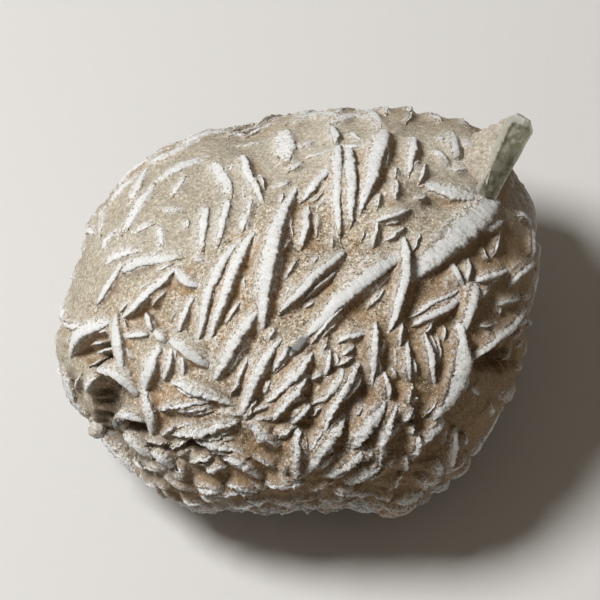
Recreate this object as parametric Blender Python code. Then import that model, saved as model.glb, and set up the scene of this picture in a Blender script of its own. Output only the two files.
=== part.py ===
"""Gypsum sand rose: one natural cluster of bladed gypsum crystals grown together in sand.

The rose lies on the ground plane as a plump bun. Its body is an ellipsoid drawn to an uneven
outline. The blades stand on it edge up, and a clear stub crystal leans out of one shoulder.
Everything is grown together, so everything is fused in one solid with a flat rest face.
Units are metres, +Z is up, and the origin is on the ground under the middle of the rose.
"""

import math
import random

import bmesh
import bpy
from mathutils import Matrix, Vector, noise
from mathutils.bvhtree import BVHTree

MM = 0.001

# The body: half sizes along X, Y and Z, how much of its foot is worn flat, how far its skin
# lies inside the outline that the blades reach, and the swells on it, which die out at the rim.
HALF_LENGTH = 40.3 * MM
HALF_DEPTH = 36.2 * MM
HALF_HEIGHT = 24.0 * MM
FOOT_CUT = 2.4 * MM
SKIN = 0.7 * MM
SWELL = 1.5 * MM
SWELL_SPACING = 12.0 * MM
RIM_CALM = 6
BODY_SUBDIVISIONS = 4

# The show face is drawn on a sheet that leans this far up from the ground plane.
SHEET_TILT = math.radians(60.0)
# The sheet is ruled in steps of a sixth of a millimetre, X to the right and Y down.
STEP = MM / 6
SHEET_CENTRE = (298, 310)
# Steps from the sheet's centre to the rose's outline, one for every 15 degrees
# anticlockwise from the right.
OUTLINE = (
    236, 252, 260, 262, 236, 212,
    201, 192, 207, 219, 226, 229,
    237, 249, 240, 229, 222, 207,
    199, 202, 228, 231, 229, 229,
)

# A blade: the share of its width that its ends keep, how blunt its lens shape and its crest
# are (under 1 is blunter), the share of its rise that its ends dive by, how far its root is
# sunk, how much wider the root is than the crest, and how it leans from the body's normal to
# the sheet's. It is cut into stations along its length.
END_WIDTH = 0.22
LENS_POWER = 0.8
CREST_POWER = 0.6
END_DIVE = 0.6
ROOT_DEPTH = 2.6 * MM
ROOT_FLARE = 1.25
SHEET_LEAN = 0.55
STATION_LENGTH = 4.4 * MM
FEWEST_STATIONS = 3
MOST_STATIONS = 6

# Show face blades: start, middle and end of the crest on the sheet, the crest's width there
# in steps, and how far it stands out of the sand in millimetres.
SHOW_BLADES = (
    # upper left: low, thin, curved ridges
    ((118, 238), (138, 207), (158, 178), 6, 1.0),
    ((155, 180), (178, 171), (212, 157), 6, 1.0),
    ((131, 206), (135, 185), (146, 166), 5, 1.0),
    ((144, 168), (158, 155), (192, 148), 5, 1.0),
    ((241, 156), (250, 180), (265, 208), 9, 1.6),
    ((211, 160), (220, 176), (226, 196), 7, 1.3),
    ((210, 207), (202, 222), (203, 262), 6, 1.2),
    ((228, 197), (222, 212), (214, 250), 5, 1.2),
    ((120, 272), (148, 260), (188, 257), 7, 1.5),
    # upper middle: tall upright blades
    ((333, 131), (347, 124), (368, 121), 6, 0.9),
    ((344, 145), (336, 185), (339, 243), 9, 2.2),
    ((349, 140), (349, 185), (352, 229), 8, 2.2),
    ((380, 128), (372, 168), (358, 218), 13, 2.8),
    ((340, 158), (318, 182), (296, 204), 8, 1.8),
    ((413, 138), (410, 158), (407, 179), 7, 1.6),
    ((410, 208), (393, 214), (372, 225), 6, 1.4),
    # upper right: a broad plate and its neighbours
    ((452, 128), (455, 145), (457, 160), 6, 1.2),
    ((432, 157), (440, 155), (451, 170), 5, 1.2),
    ((465, 152), (479, 157), (480, 175), 5, 1.2),
    ((415, 184), (450, 190), (484, 199), 12, 2.0),
    ((499, 194), (458, 235), (403, 283), 18, 2.6),
    ((515, 216), (532, 214), (541, 228), 7, 1.0),
    ((532, 222), (534, 242), (532, 262), 8, 1.2),
    ((537, 260), (523, 271), (506, 288), 7, 1.4),
    # middle: the largest blades
    ((243, 240), (213, 277), (198, 345), 11, 2.6),
    ((257, 229), (232, 270), (208, 345), 12, 2.8),
    ((298, 185), (270, 245), (263, 330), 14, 3.4),
    ((262, 303), (233, 343), (214, 380), 12, 2.8),
    ((312, 207), (304, 225), (300, 250), 6, 1.5),
    ((283, 337), (257, 372), (241, 418), 10, 2.4),
    ((346, 251), (312, 276), (277, 315), 10, 2.4),
    ((402, 253), (350, 290), (288, 350), 16, 3.2),
    ((402, 235), (403, 275), (387, 335), 10, 2.6),
    ((375, 318), (373, 350), (370, 388), 7, 2.0),
    ((406, 338), (407, 360), (409, 382), 6, 1.6),
    ((422, 330), (429, 355), (434, 388), 7, 2.0),
    # right: short blades that end in a strong edge over the shaded side
    ((450, 261), (457, 275), (463, 290), 7, 1.6),
    ((410, 326), (440, 310), (466, 293), 8, 1.8),
    ((510, 269), (490, 275), (471, 282), 7, 1.5),
    ((475, 281), (472, 300), (462, 335), 10, 2.4),
    ((454, 311), (458, 345), (457, 380), 17, 2.8),
    ((460, 385), (445, 402), (432, 420), 14, 2.6),
    ((527, 308), (500, 330), (467, 362), 7, 1.6),
    ((445, 418), (432, 432), (421, 445), 9, 2.0),
    ((455, 425), (453, 448), (450, 472), 8, 1.6),
    ((436, 455), (438, 470), (444, 483), 9, 1.4),
    ((426, 489), (410, 500), (390, 510), 8, 1.2),
    # left: broad lobes with hollows under them
    ((97, 305), (108, 285), (122, 262), 6, 1.2),
    ((118, 315), (148, 291), (178, 264), 7, 2.2),
    ((178, 262), (184, 274), (197, 284), 8, 1.8),
    ((72, 355), (82, 335), (105, 317), 11, 2.2),
    ((120, 312), (114, 335), (124, 372), 9, 2.2),
    ((171, 341), (188, 352), (208, 362), 8, 2.0),
    ((159, 345), (149, 365), (145, 390), 7, 1.8),
    ((97, 371), (115, 374), (136, 390), 7, 1.8),
    ((137, 392), (146, 408), (149, 431), 8, 1.8),
    ((114, 428), (124, 415), (142, 418), 7, 1.6),
    ((124, 432), (134, 443), (155, 458), 7, 1.4),
    ((152, 452), (161, 457), (176, 468), 7, 1.2),
    # foot of the show face: blades packed like shingles
    ((171, 380), (198, 390), (236, 405), 9, 2.0),
    ((158, 409), (185, 403), (213, 400), 6, 1.5),
    ((172, 433), (205, 430), (240, 419), 9, 2.0),
    ((313, 350), (292, 377), (264, 403), 9, 2.2),
    ((309, 371), (290, 397), (271, 421), 9, 2.2),
    ((246, 420), (262, 433), (282, 446), 9, 1.8),
    ((299, 425), (296, 452), (296, 482), 9, 2.0),
    ((196, 439), (215, 445), (246, 450), 7, 1.6),
    ((205, 470), (214, 468), (228, 464), 6, 1.2),
    ((220, 456), (242, 463), (262, 480), 9, 1.8),
    ((341, 364), (336, 386), (310, 403), 8, 2.0),
    ((359, 360), (340, 395), (313, 447), 9, 2.4),
    ((347, 412), (328, 440), (305, 474), 11, 2.2),
    ((388, 397), (368, 424), (347, 452), 14, 2.6),
    ((398, 401), (385, 432), (377, 470), 9, 2.2),
    ((365, 442), (350, 463), (322, 476), 9, 1.8),
    ((418, 430), (416, 445), (411, 460), 7, 1.6),
    ((382, 462), (366, 474), (341, 483), 10, 1.4),
    ((262, 481), (285, 486), (305, 480), 7, 1.2),
    ((196, 487), (210, 490), (226, 488), 7, 1.2),
)

# Hollows between the blades: place on the sheet, half width and half height there in steps,
# and depth in millimetres.
HOLLOWS = (
    ((114, 402), 18, 25, 6.0),
    ((99, 351), 20, 13, 5.0),
    ((136, 428), 15, 8, 5.0),
    ((205, 441), 24, 9, 3.0),
    ((240, 395), 16, 10, 2.5),
)

# The small round knob low on the left edge, and the clear stub crystal on the right shoulder:
# its foot is slimmer than its tip, it lifts off the sheet by a share of its reach, and its root
# is sunk by another share.
KNOB_PLACE = (99, 426)
KNOB_RADIUS = 1.25 * MM
STUB_FOOT = (483, 197)
STUB_TIP = (519, 121)
STUB_WIDTH = 6.0 * MM
STUB_THICKNESS = 3.6 * MM
STUB_SLIMMING = 0.84
STUB_LIFT = 0.16
STUB_ROOT = 0.12

# The sides, the back and the underside carry blades by rule: a spiral of places, sizes between
# these bounds, all turned by one slowly changing grain. Along the rim they stand lower.
HIDDEN_BLADES = 150
HIDDEN_LENGTH = (10.0 * MM, 20.0 * MM)
HIDDEN_WIDTH = (1.3 * MM, 2.6 * MM)
HIDDEN_RISE = (1.4 * MM, 2.8 * MM)
RIM_RISE = 0.5
RIM_BAND = 0.35
SHOW_LIMIT = 0.33
GRAIN_TURN = Vector((2.2, 1.7, 1.3))
GRAIN_JITTER = 0.5
GOLDEN_ANGLE = math.pi * (3.0 - math.sqrt(5.0))
SEED = 11

SHEET_RIGHT = Vector((1.0, 0.0, 0.0))
SHEET_UP = Vector((0.0, math.sin(SHEET_TILT), math.cos(SHEET_TILT)))
SHEET_OUT = SHEET_RIGHT.cross(SHEET_UP)


def clear_scene():
    """Remove every object, so that the script starts from an empty scene."""
    for item in list(bpy.data.objects):
        bpy.data.objects.remove(item, do_unlink=True)


def outline_radius(angle):
    """Distance from the sheet's centre to the outline, smooth between the listed radii."""
    place = angle / math.tau * len(OUTLINE)
    low = math.floor(place)
    share = place - low
    share = share * share * (3.0 - 2.0 * share)
    first = OUTLINE[low % len(OUTLINE)]
    second = OUTLINE[(low + 1) % len(OUTLINE)]
    return (first + (second - first) * share) * STEP


def plain_radius(angle):
    """Outline of the plain ellipsoid on the sheet at the same angle."""
    across = HALF_LENGTH
    upright = math.hypot(HALF_DEPTH * math.sin(SHEET_TILT), HALF_HEIGHT * math.cos(SHEET_TILT))
    return 1.0 / math.hypot(math.cos(angle) / across, math.sin(angle) / upright)


def shaped(direction):
    """Point of the body's skin in the direction of a unit vector from its centre."""
    point = Vector(
        (direction.x * HALF_LENGTH, direction.y * HALF_DEPTH, direction.z * HALF_HEIGHT)
    )
    right = point.dot(SHEET_RIGHT)
    up = point.dot(SHEET_UP)
    out = point.dot(SHEET_OUT)
    angle = math.atan2(up, right)
    plain = plain_radius(angle)
    edge = min(1.0, math.hypot(right, up) / plain)
    full = (outline_radius(angle) - SKIN) / plain
    stretch = 1.0 + (full - 1.0) * edge * edge
    point = (SHEET_RIGHT * right + SHEET_UP * up) * stretch + SHEET_OUT * out
    swell = noise.noise(point / SWELL_SPACING) * SWELL * (1.0 - edge**RIM_CALM)
    return point + direction * swell


def mesh_object(name, mesh_data, collection):
    """New object from a bmesh, linked to its collection."""
    mesh = bpy.data.meshes.new(name)
    mesh_data.to_mesh(mesh)
    mesh_data.free()
    item = bpy.data.objects.new(name, mesh)
    collection.objects.link(item)
    return item


def body_mesh():
    """The body before anything stands on it: an icosphere drawn to the nodule's form."""
    sphere = bmesh.new()
    bmesh.ops.create_icosphere(sphere, subdivisions=BODY_SUBDIVISIONS, radius=1.0)
    for vertex in sphere.verts:
        vertex.co = shaped(vertex.co.normalized())
    return sphere


def on_sheet(place):
    """Point of the sheet, through the body's centre, from its steps."""
    right = (place[0] - SHEET_CENTRE[0]) * STEP
    up = (SHEET_CENTRE[1] - place[1]) * STEP
    return SHEET_RIGHT * right + SHEET_UP * up


def dropped(tree, place):
    """Drop a place on the sheet square onto the body. Past the body's edge it takes the
    nearest skin."""
    above = on_sheet(place) + SHEET_OUT * 4 * HALF_HEIGHT
    hit, normal, _, _ = tree.ray_cast(above, -SHEET_OUT)
    if hit is None:
        hit, normal, _, _ = tree.find_nearest(on_sheet(place))
    return hit, normal


def outward(tree, direction):
    """Skin point and normal in a direction from the body's centre."""
    hit, normal, _, _ = tree.ray_cast(Vector((0.0, 0.0, 0.0)), direction)
    return hit, normal


def blade_mesh(start, middle, end, up, width, rise):
    """One blade: a bar cut into stations along its length, then drawn into a lens whose
    crest runs through three points."""
    length = (middle - start).length + (end - middle).length
    stations = max(FEWEST_STATIONS, min(MOST_STATIONS, round(length / STATION_LENGTH)))
    bend = middle * 2.0 - (start + end) * 0.5
    bar = bmesh.new()
    bmesh.ops.create_cube(bar, size=2.0)
    long_edges = [e for e in bar.edges if abs(e.verts[0].co.x - e.verts[1].co.x) > 1.0]
    bmesh.ops.subdivide_edges(bar, edges=long_edges, cuts=stations - 1, use_grid_fill=True)
    for vertex in bar.verts:
        share = (vertex.co.x + 1.0) / 2.0
        swell = math.sin(math.pi * share)
        centre = start * (1.0 - share) ** 2 + bend * 2.0 * share * (1.0 - share) + end * share**2
        along = (bend - start) * (1.0 - share) + (end - bend) * share
        aside = along.cross(up).normalized()
        half = width / 2.0 * (END_WIDTH + (1.0 - END_WIDTH) * swell**LENS_POWER)
        if vertex.co.z > 0.0:
            height = rise * ((1.0 + END_DIVE) * swell**CREST_POWER - END_DIVE)
        else:
            height = -ROOT_DEPTH
            half *= ROOT_FLARE
        vertex.co = centre - aside * half * vertex.co.y + up * height
    bmesh.ops.recalc_face_normals(bar, faces=bar.faces)
    return bar


def show_blades(tree, collection):
    """The blades of the show face, from the list."""
    for number, (start, middle, end, width, rise) in enumerate(SHOW_BLADES):
        first, _ = dropped(tree, start)
        centre, normal = dropped(tree, middle)
        last, _ = dropped(tree, end)
        up = (normal + SHEET_OUT * SHEET_LEAN).normalized()
        bar = blade_mesh(first, centre, last, up, width * STEP, rise * MM)
        mesh_object(f"show_blade_{number:02d}", bar, collection)


def hidden_blades(tree, collection):
    """Blades over the rest of the body, placed along a spiral from pole to pole."""
    chance = random.Random(SEED)
    for number in range(HIDDEN_BLADES):
        level = 1.0 - 2.0 * (number + 0.5) / HIDDEN_BLADES
        turn = number * GOLDEN_ANGLE
        ring = math.sqrt(1.0 - level * level)
        direction = Vector((ring * math.cos(turn), ring * math.sin(turn), level))
        length = chance.uniform(*HIDDEN_LENGTH)
        width = chance.uniform(*HIDDEN_WIDTH)
        rise = chance.uniform(*HIDDEN_RISE)
        jitter = chance.uniform(-GRAIN_JITTER, GRAIN_JITTER)
        centre, normal = outward(tree, direction)
        facing = normal.dot(SHEET_OUT)
        if facing > SHOW_LIMIT:
            continue
        if facing > -RIM_BAND:
            rise *= RIM_RISE
        east = normal.orthogonal().normalized()
        along = Matrix.Rotation(GRAIN_TURN.dot(direction) + jitter, 3, normal) @ east
        first, _ = outward(tree, (centre - along * length / 2.0).normalized())
        last, _ = outward(tree, (centre + along * length / 2.0).normalized())
        bar = blade_mesh(first, centre, last, normal, width, rise)
        mesh_object(f"hidden_blade_{number:02d}", bar, collection)


def knob(tree, collection):
    """The round knob at the edge."""
    ball = bmesh.new()
    bmesh.ops.create_icosphere(ball, subdivisions=1, radius=KNOB_RADIUS)
    place, _ = tree.find_nearest(on_sheet(KNOB_PLACE))[:2]
    bmesh.ops.translate(ball, verts=ball.verts, vec=place)
    mesh_object("knob", ball, collection)


def stub_crystal(tree, collection):
    """The clear stub: a six-sided prism, flat like a ruler, leaning out of the shoulder."""
    foot, _ = dropped(tree, STUB_FOOT)
    reach = on_sheet(STUB_TIP) - on_sheet(STUB_FOOT)
    axis = (reach + SHEET_OUT * reach.length * STUB_LIFT).normalized()
    across = axis.cross(SHEET_OUT).normalized()
    prism = bmesh.new()
    bmesh.ops.create_cone(
        prism, cap_ends=True, segments=6, radius1=0.5 * STUB_SLIMMING, radius2=0.5, depth=1.0
    )
    frame = Matrix((across, axis.cross(across), axis)).transposed()
    for vertex in prism.verts:
        size = Vector(
            (
                vertex.co.x * STUB_WIDTH,
                vertex.co.y * STUB_THICKNESS,
                (vertex.co.z + 0.5) * reach.length * (1.0 + STUB_ROOT) - reach.length * STUB_ROOT,
            )
        )
        vertex.co = foot + frame @ size
    mesh_object("stub_crystal", prism, collection)


def hollows(tree, collection):
    """Round hollows between the blades."""
    for number, (place, wide, high, depth) in enumerate(HOLLOWS):
        ball = bmesh.new()
        bmesh.ops.create_icosphere(ball, subdivisions=2, radius=1.0)
        centre, _ = dropped(tree, place)
        for vertex in ball.verts:
            vertex.co = (
                centre
                + SHEET_RIGHT * vertex.co.x * wide * STEP
                + SHEET_UP * vertex.co.y * high * STEP
                + SHEET_OUT * vertex.co.z * depth * MM
            )
        mesh_object(f"hollow_{number}", ball, collection)


def gypsum():
    """Pale sand-bearing gypsum."""
    material = bpy.data.materials.new("sandy_gypsum")
    material.use_nodes = True
    shader = material.node_tree.nodes["Principled BSDF"]
    shader.inputs["Base Color"].default_value = (0.56, 0.49, 0.37, 1.0)
    shader.inputs["Roughness"].default_value = 0.9
    shader.inputs["Metallic"].default_value = 0.0
    return material


def boolean(item, operation, operand, name):
    """Boolean with one object, or with every object of a collection."""
    step = item.modifiers.new(name, "BOOLEAN")
    step.operation = operation
    step.solver = "EXACT"
    if isinstance(operand, bpy.types.Collection):
        step.operand_type = "COLLECTION"
        step.collection = operand
    else:
        step.object = operand
    return step


def foot_cutter(collection):
    """A slab that takes off everything below the rest plane."""
    slab = bmesh.new()
    bmesh.ops.create_cube(slab, size=1.0)
    top = FOOT_CUT - HALF_HEIGHT
    size = 4.0 * HALF_LENGTH
    for vertex in slab.verts:
        level = top if vertex.co.z > 0.0 else top - HALF_HEIGHT
        vertex.co = Vector((vertex.co.x * size, vertex.co.y * size, level))
    return mesh_object("foot_slab", slab, collection)


def stand_on_origin(rose, centre):
    """Move the rose by its centre, so that it stands on the ground over the origin."""
    bpy.context.view_layer.update()
    corners = rose.evaluated_get(bpy.context.evaluated_depsgraph_get()).bound_box
    lowest = [min(corner[axis] for corner in corners) for axis in range(3)]
    highest = [max(corner[axis] for corner in corners) for axis in range(3)]
    centre.location = (
        -(lowest[0] + highest[0]) / 2.0,
        -(lowest[1] + highest[1]) / 2.0,
        -lowest[2],
    )


def main():
    clear_scene()
    scene = bpy.context.scene.collection
    rose_group = bpy.data.collections.new("gypsum_sand_rose")
    blade_group = bpy.data.collections.new("blades")
    hollow_group = bpy.data.collections.new("hollows")
    tools = bpy.data.collections.new("cutters")
    scene.children.link(rose_group)
    scene.children.link(tools)
    tools.children.link(blade_group)
    tools.children.link(hollow_group)

    body = body_mesh()
    tree = BVHTree.FromBMesh(body)
    rose = mesh_object("sand_rose", body, rose_group)
    rose.data.materials.append(gypsum())

    hollows(tree, hollow_group)
    show_blades(tree, blade_group)
    hidden_blades(tree, blade_group)
    knob(tree, blade_group)
    stub_crystal(tree, blade_group)
    boolean(rose, "DIFFERENCE", hollow_group, "hollows")
    boolean(rose, "UNION", blade_group, "blades")
    boolean(rose, "DIFFERENCE", foot_cutter(tools), "flat_foot")

    centre = bpy.data.objects.new("rose_centre", None)
    scene.objects.link(centre)
    rose.parent = centre
    for item in list(tools.all_objects):
        item.parent = centre
        item.hide_render = True
        item.display_type = "WIRE"
    stand_on_origin(rose, centre)


main()
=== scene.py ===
# %% [markdown]
# # A gypsum sand rose
# A sand rose is a cluster of gypsum crystals that grew in wet desert sand and took the sand in as
# they grew. Each crystal is a blade, and the blades stand on edge all over a plump nodule. Seen
# from outside, each blade is a white, lens-shaped crest, and the sand between the crests lies in
# hollowed troughs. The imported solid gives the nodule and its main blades. This script dresses it:
# rough sand, crisp crests, loose grains and the one clear crystal on the shoulder.

import math
import random
from collections import namedtuple

import bmesh
import bpy
import numpy as np
from mathutils import Matrix, Vector, noise
from mathutils.bvhtree import BVHTree


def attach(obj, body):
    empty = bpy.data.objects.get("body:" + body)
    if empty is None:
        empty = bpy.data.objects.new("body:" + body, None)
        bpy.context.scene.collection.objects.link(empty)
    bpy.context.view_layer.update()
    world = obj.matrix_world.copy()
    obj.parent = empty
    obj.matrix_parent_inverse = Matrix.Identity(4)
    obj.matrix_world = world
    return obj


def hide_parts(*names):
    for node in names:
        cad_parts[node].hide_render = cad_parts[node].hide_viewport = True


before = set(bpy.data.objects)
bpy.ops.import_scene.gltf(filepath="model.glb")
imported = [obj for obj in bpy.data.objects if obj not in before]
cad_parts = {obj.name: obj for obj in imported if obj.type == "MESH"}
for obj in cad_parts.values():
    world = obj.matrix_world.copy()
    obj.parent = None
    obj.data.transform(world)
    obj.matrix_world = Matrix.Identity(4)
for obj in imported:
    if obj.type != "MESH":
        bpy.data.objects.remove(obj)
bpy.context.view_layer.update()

# %% [markdown]
# ## Sizes and the drawing sheet
# The nodule is an ellipsoid drawn to an uneven outline. Its blades are easiest to lay out as a
# drawing, so they are listed on a sheet: a plane through the nodule's middle that leans 60 degrees
# up from the ground, ruled in steps of a sixth of a millimetre. A crest is three places on that
# sheet, dropped square onto the nodule. Listing them in space would need half as many numbers
# again, and nobody could read them.

# %% Sizes
MM = 0.001
STEP = MM / 6

HALF_SIZES = np.array((40.3, 36.2, 24.0)) * MM
FOOT_CUT = 2.4 * MM
FOOT_LEVEL = FOOT_CUT - HALF_SIZES[2]
SKIN = 0.7 * MM
SWELL = 1.5 * MM
SWELL_SPACING = 12.0 * MM
RIM_CALM = 6
BODY_CENTRE = Vector((-0.39 * MM, -0.29 * MM, HALF_SIZES[2] - FOOT_CUT))

SHEET_TILT = math.radians(60.0)
SHEET_CENTRE = (298, 310)
SHEET_RIGHT = Vector((1.0, 0.0, 0.0))
SHEET_UP = Vector((0.0, math.sin(SHEET_TILT), math.cos(SHEET_TILT)))
SHEET_OUT = SHEET_RIGHT.cross(SHEET_UP)
DROP_HEIGHT = 0.1

# Steps from the sheet's centre to the outline, every 15 degrees anticlockwise from the right.
OUTLINE = np.array(
    (
        236, 252, 260, 262, 236, 212, 201, 192, 207, 219, 226, 229,
        237, 249, 240, 229, 222, 207, 199, 202, 228, 231, 229, 229,
    )
)
print("sheet step, mm:", round(STEP / MM, 3))

# %% The nodule's skin
def smooth_step(values, low, high):
    share = np.clip((values - low) / (high - low), 0.0, 1.0)
    return share * share * (3.0 - 2.0 * share)


def noise_at(points, spacing, kind=noise.noise):
    """Noise with features about this far apart, for each point."""
    return np.array([kind(Vector(p) / spacing) for p in points])


def nodule(directions):
    """Points of the skin for unit directions from the nodule's middle, one row each."""
    plain = directions * HALF_SIZES
    right, up, out = (plain @ np.array(axis) for axis in (SHEET_RIGHT, SHEET_UP, SHEET_OUT))
    angle = np.arctan2(up, right)
    upright = math.hypot(
        HALF_SIZES[1] * math.sin(SHEET_TILT), HALF_SIZES[2] * math.cos(SHEET_TILT)
    )
    plain_radius = 1.0 / np.hypot(np.cos(angle) / HALF_SIZES[0], np.sin(angle) / upright)
    edge = np.minimum(1.0, np.hypot(right, up) / plain_radius)
    place = angle / math.tau * len(OUTLINE)
    low = np.floor(place).astype(int)
    share = smooth_step(place - low, 0.0, 1.0)
    first, second = OUTLINE[low % len(OUTLINE)], OUTLINE[(low + 1) % len(OUTLINE)]
    drawn_radius = (first + (second - first) * share) * STEP - SKIN
    stretch = 1.0 + (drawn_radius / plain_radius - 1.0) * edge * edge
    points = (
        np.outer(right * stretch, SHEET_RIGHT)
        + np.outer(up * stretch, SHEET_UP)
        + np.outer(out, SHEET_OUT)
    )
    swell = noise_at(points, SWELL_SPACING) * (SWELL * (1.0 - edge**RIM_CALM))
    return points + directions * swell[:, None]


def skin_tree():
    """The smooth skin as a tree that lines can be dropped on."""
    sphere = bmesh.new()
    bmesh.ops.create_icosphere(sphere, subdivisions=6, radius=1.0)
    directions = np.array([v.co.normalized() for v in sphere.verts])
    for vertex, point in zip(sphere.verts, nodule(directions)):
        vertex.co = point
    tree = BVHTree.FromBMesh(sphere)
    sphere.free()
    return tree


skin = skin_tree()


def on_sheet(place):
    """Point of the sheet from its steps."""
    right = (place[0] - SHEET_CENTRE[0]) * STEP
    up = (SHEET_CENTRE[1] - place[1]) * STEP
    return SHEET_RIGHT * right + SHEET_UP * up


def cast(point):
    """Skin point and normal straight below a point of the sheet, or None twice."""
    return skin.ray_cast(point + SHEET_OUT * DROP_HEIGHT, -SHEET_OUT)[:2]


def dropped(place):
    """Where a sheet place lands on the skin, and the normal there."""
    hit, normal = cast(on_sheet(place))
    return (hit, normal) if hit else skin.find_nearest(on_sheet(place))[:2]


def outward(direction):
    """Skin point and normal in a direction from the middle."""
    return skin.ray_cast(Vector((0.0, 0.0, 0.0)), direction)[:2]


print("middle of the show face lies", round(dropped(SHEET_CENTRE)[0].length / MM, 1), "mm out")

# %% [markdown]
# ## Where the blades stand
# On the real rose the blades differ from place to place: low thin ridges at the upper left, tall
# upright blades in the middle, a packed shingle of them at the foot. That is drawn as one
# list. A crest is one row of numbers: its start, middle and end on the sheet, its width in steps
# and how far it stands out of the skin in millimetres. A last number, where there is one, says
# where along it the crest is fullest. Each group has a style, because the low ridges are soft and
# blunt, and the tall blades crisp.

# %% The drawn blades
LOW_RIDGES = (
    (117, 243, 136, 208, 160, 176, 7, 1.0), (151, 188, 176, 167, 213, 158, 7, 1.1),
    (131, 206, 135, 185, 150, 163, 7, 1.2), (147, 166, 160, 155, 186, 148, 6, 1.1),
    (100, 238, 101, 220, 104, 205, 4, 0.7), (172, 197, 178, 186, 188, 172, 4, 0.8),
    (157, 211, 172, 210, 187, 212, 3, 0.6), (130, 235, 143, 227, 157, 222, 4, 0.7),
    (157, 224, 160, 236, 162, 251, 5, 0.9), (103, 255, 107, 240, 117, 229, 5, 0.9),
    (186, 217, 187, 224, 187, 230, 3, 0.6), (225, 138, 235, 132, 248, 127, 5, 0.6),
    (210, 160, 222, 177, 229, 200, 8, 1.4), (228, 198, 222, 216, 215, 255, 6, 1.2),
    (252, 195, 246, 215, 241, 235, 5, 1.1), (210, 207, 202, 222, 202, 258, 6, 1.2),
    (270, 185, 281, 185, 292, 180, 3, 0.6), (232, 163, 230, 168, 228, 172, 3, 0.6),
    (297, 150, 305, 144, 316, 141, 4, 0.7), (306, 158, 318, 154, 330, 150, 3, 0.7),
    (286, 172, 296, 165, 303, 160, 4, 0.8), (237, 146, 250, 143, 265, 142, 4, 0.6),
    (117, 274, 146, 260, 187, 256, 7, 1.6), (190, 258, 198, 259, 206, 262, 3, 0.8),
    (103, 266, 118, 254, 145, 249, 6, 1.0), (330, 130, 348, 114, 385, 121, 7, 0.8),
    (283, 125, 318, 113, 352, 109, 8, 0.9), (99, 207, 112, 180, 136, 156, 8, 0.8),
    (141, 152, 168, 137, 214, 130, 8, 0.8), (437, 134, 441, 138, 446, 142, 5, 1.0),
    (452, 128, 455, 145, 457, 160, 6, 1.4), (460, 145, 472, 142, 485, 139, 5, 1.2),
    (432, 157, 440, 154, 451, 170, 4, 1.1), (470, 153, 481, 155, 481, 172, 5, 1.1),
    (449, 168, 460, 168, 472, 166, 4, 0.9),
)
TALL_BLADES = (
    (281, 128, 284, 148, 282, 170, 19, 0.8, 0.35), (241, 154, 250, 178, 266, 209, 10, 1.7, 0.35),
    (332, 122, 333, 133, 337, 147, 8, 1.1), (340, 145, 355, 145, 370, 147, 6, 1.0),
    (349, 131, 355, 136, 365, 145, 5, 0.8), (338, 144, 336, 185, 339, 244, 11, 2.2, 0.3),
    (347, 144, 350, 185, 349, 230, 11, 2.2, 0.33), (384, 128, 372, 168, 357, 218, 15, 2.7, 0.22),
    (331, 164, 316, 182, 297, 205, 9, 1.8, 0.4), (413, 136, 411, 156, 407, 180, 8, 1.7, 0.3),
    (396, 178, 395, 190, 394, 204, 5, 1.1), (425, 162, 421, 172, 418, 185, 4, 0.9),
    (411, 208, 393, 214, 369, 224, 6, 1.4), (405, 226, 393, 234, 382, 243, 4, 1.0),
    (378, 217, 374, 235, 371, 250, 4, 1.0), (412, 195, 420, 198, 425, 193, 4, 0.8),
)
SHOULDER_BLADES = (
    (416, 183, 448, 190, 485, 199, 17, 1.5, 0.6), (498, 197, 459, 231, 404, 282, 27, 2.2, 0.45),
    (478, 226, 490, 226, 504, 217, 9, 1.2), (515, 216, 532, 214, 541, 228, 7, 1.0),
    (532, 222, 534, 242, 532, 262, 8, 1.2), (537, 260, 523, 271, 506, 288, 7, 1.4),
    (480, 243, 485, 256, 488, 259, 3, 0.7), (500, 225, 496, 245, 489, 259, 3, 0.8),
)
MIDDLE_BLADES = (
    (243, 240, 213, 277, 198, 345, 11, 2.6), (257, 229, 232, 270, 208, 345, 12, 2.8),
    (299, 184, 270, 245, 262, 332, 16, 3.4, 0.55), (262, 303, 233, 343, 214, 380, 12, 2.8),
    (308, 204, 304, 225, 300, 250, 8, 1.6), (283, 337, 257, 372, 241, 418, 10, 2.4),
    (243, 300, 232, 313, 226, 325, 4, 1.0), (346, 251, 312, 276, 277, 315, 10, 2.4),
    (404, 251, 352, 289, 303, 338, 16, 3.2, 0.45), (309, 333, 298, 344, 285, 357, 9, 1.7),
    (356, 292, 335, 312, 309, 346, 5, 2.2), (402, 235, 403, 275, 387, 335, 10, 2.6),
    (375, 318, 373, 350, 370, 388, 7, 2.0), (335, 343, 350, 335, 368, 332, 6, 1.6),
    (340, 355, 347, 349, 355, 342, 4, 1.1), (401, 318, 400, 335, 398, 348, 4, 1.2),
    (406, 338, 407, 360, 409, 382, 6, 1.6), (422, 330, 429, 355, 434, 388, 7, 2.0),
)
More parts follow.
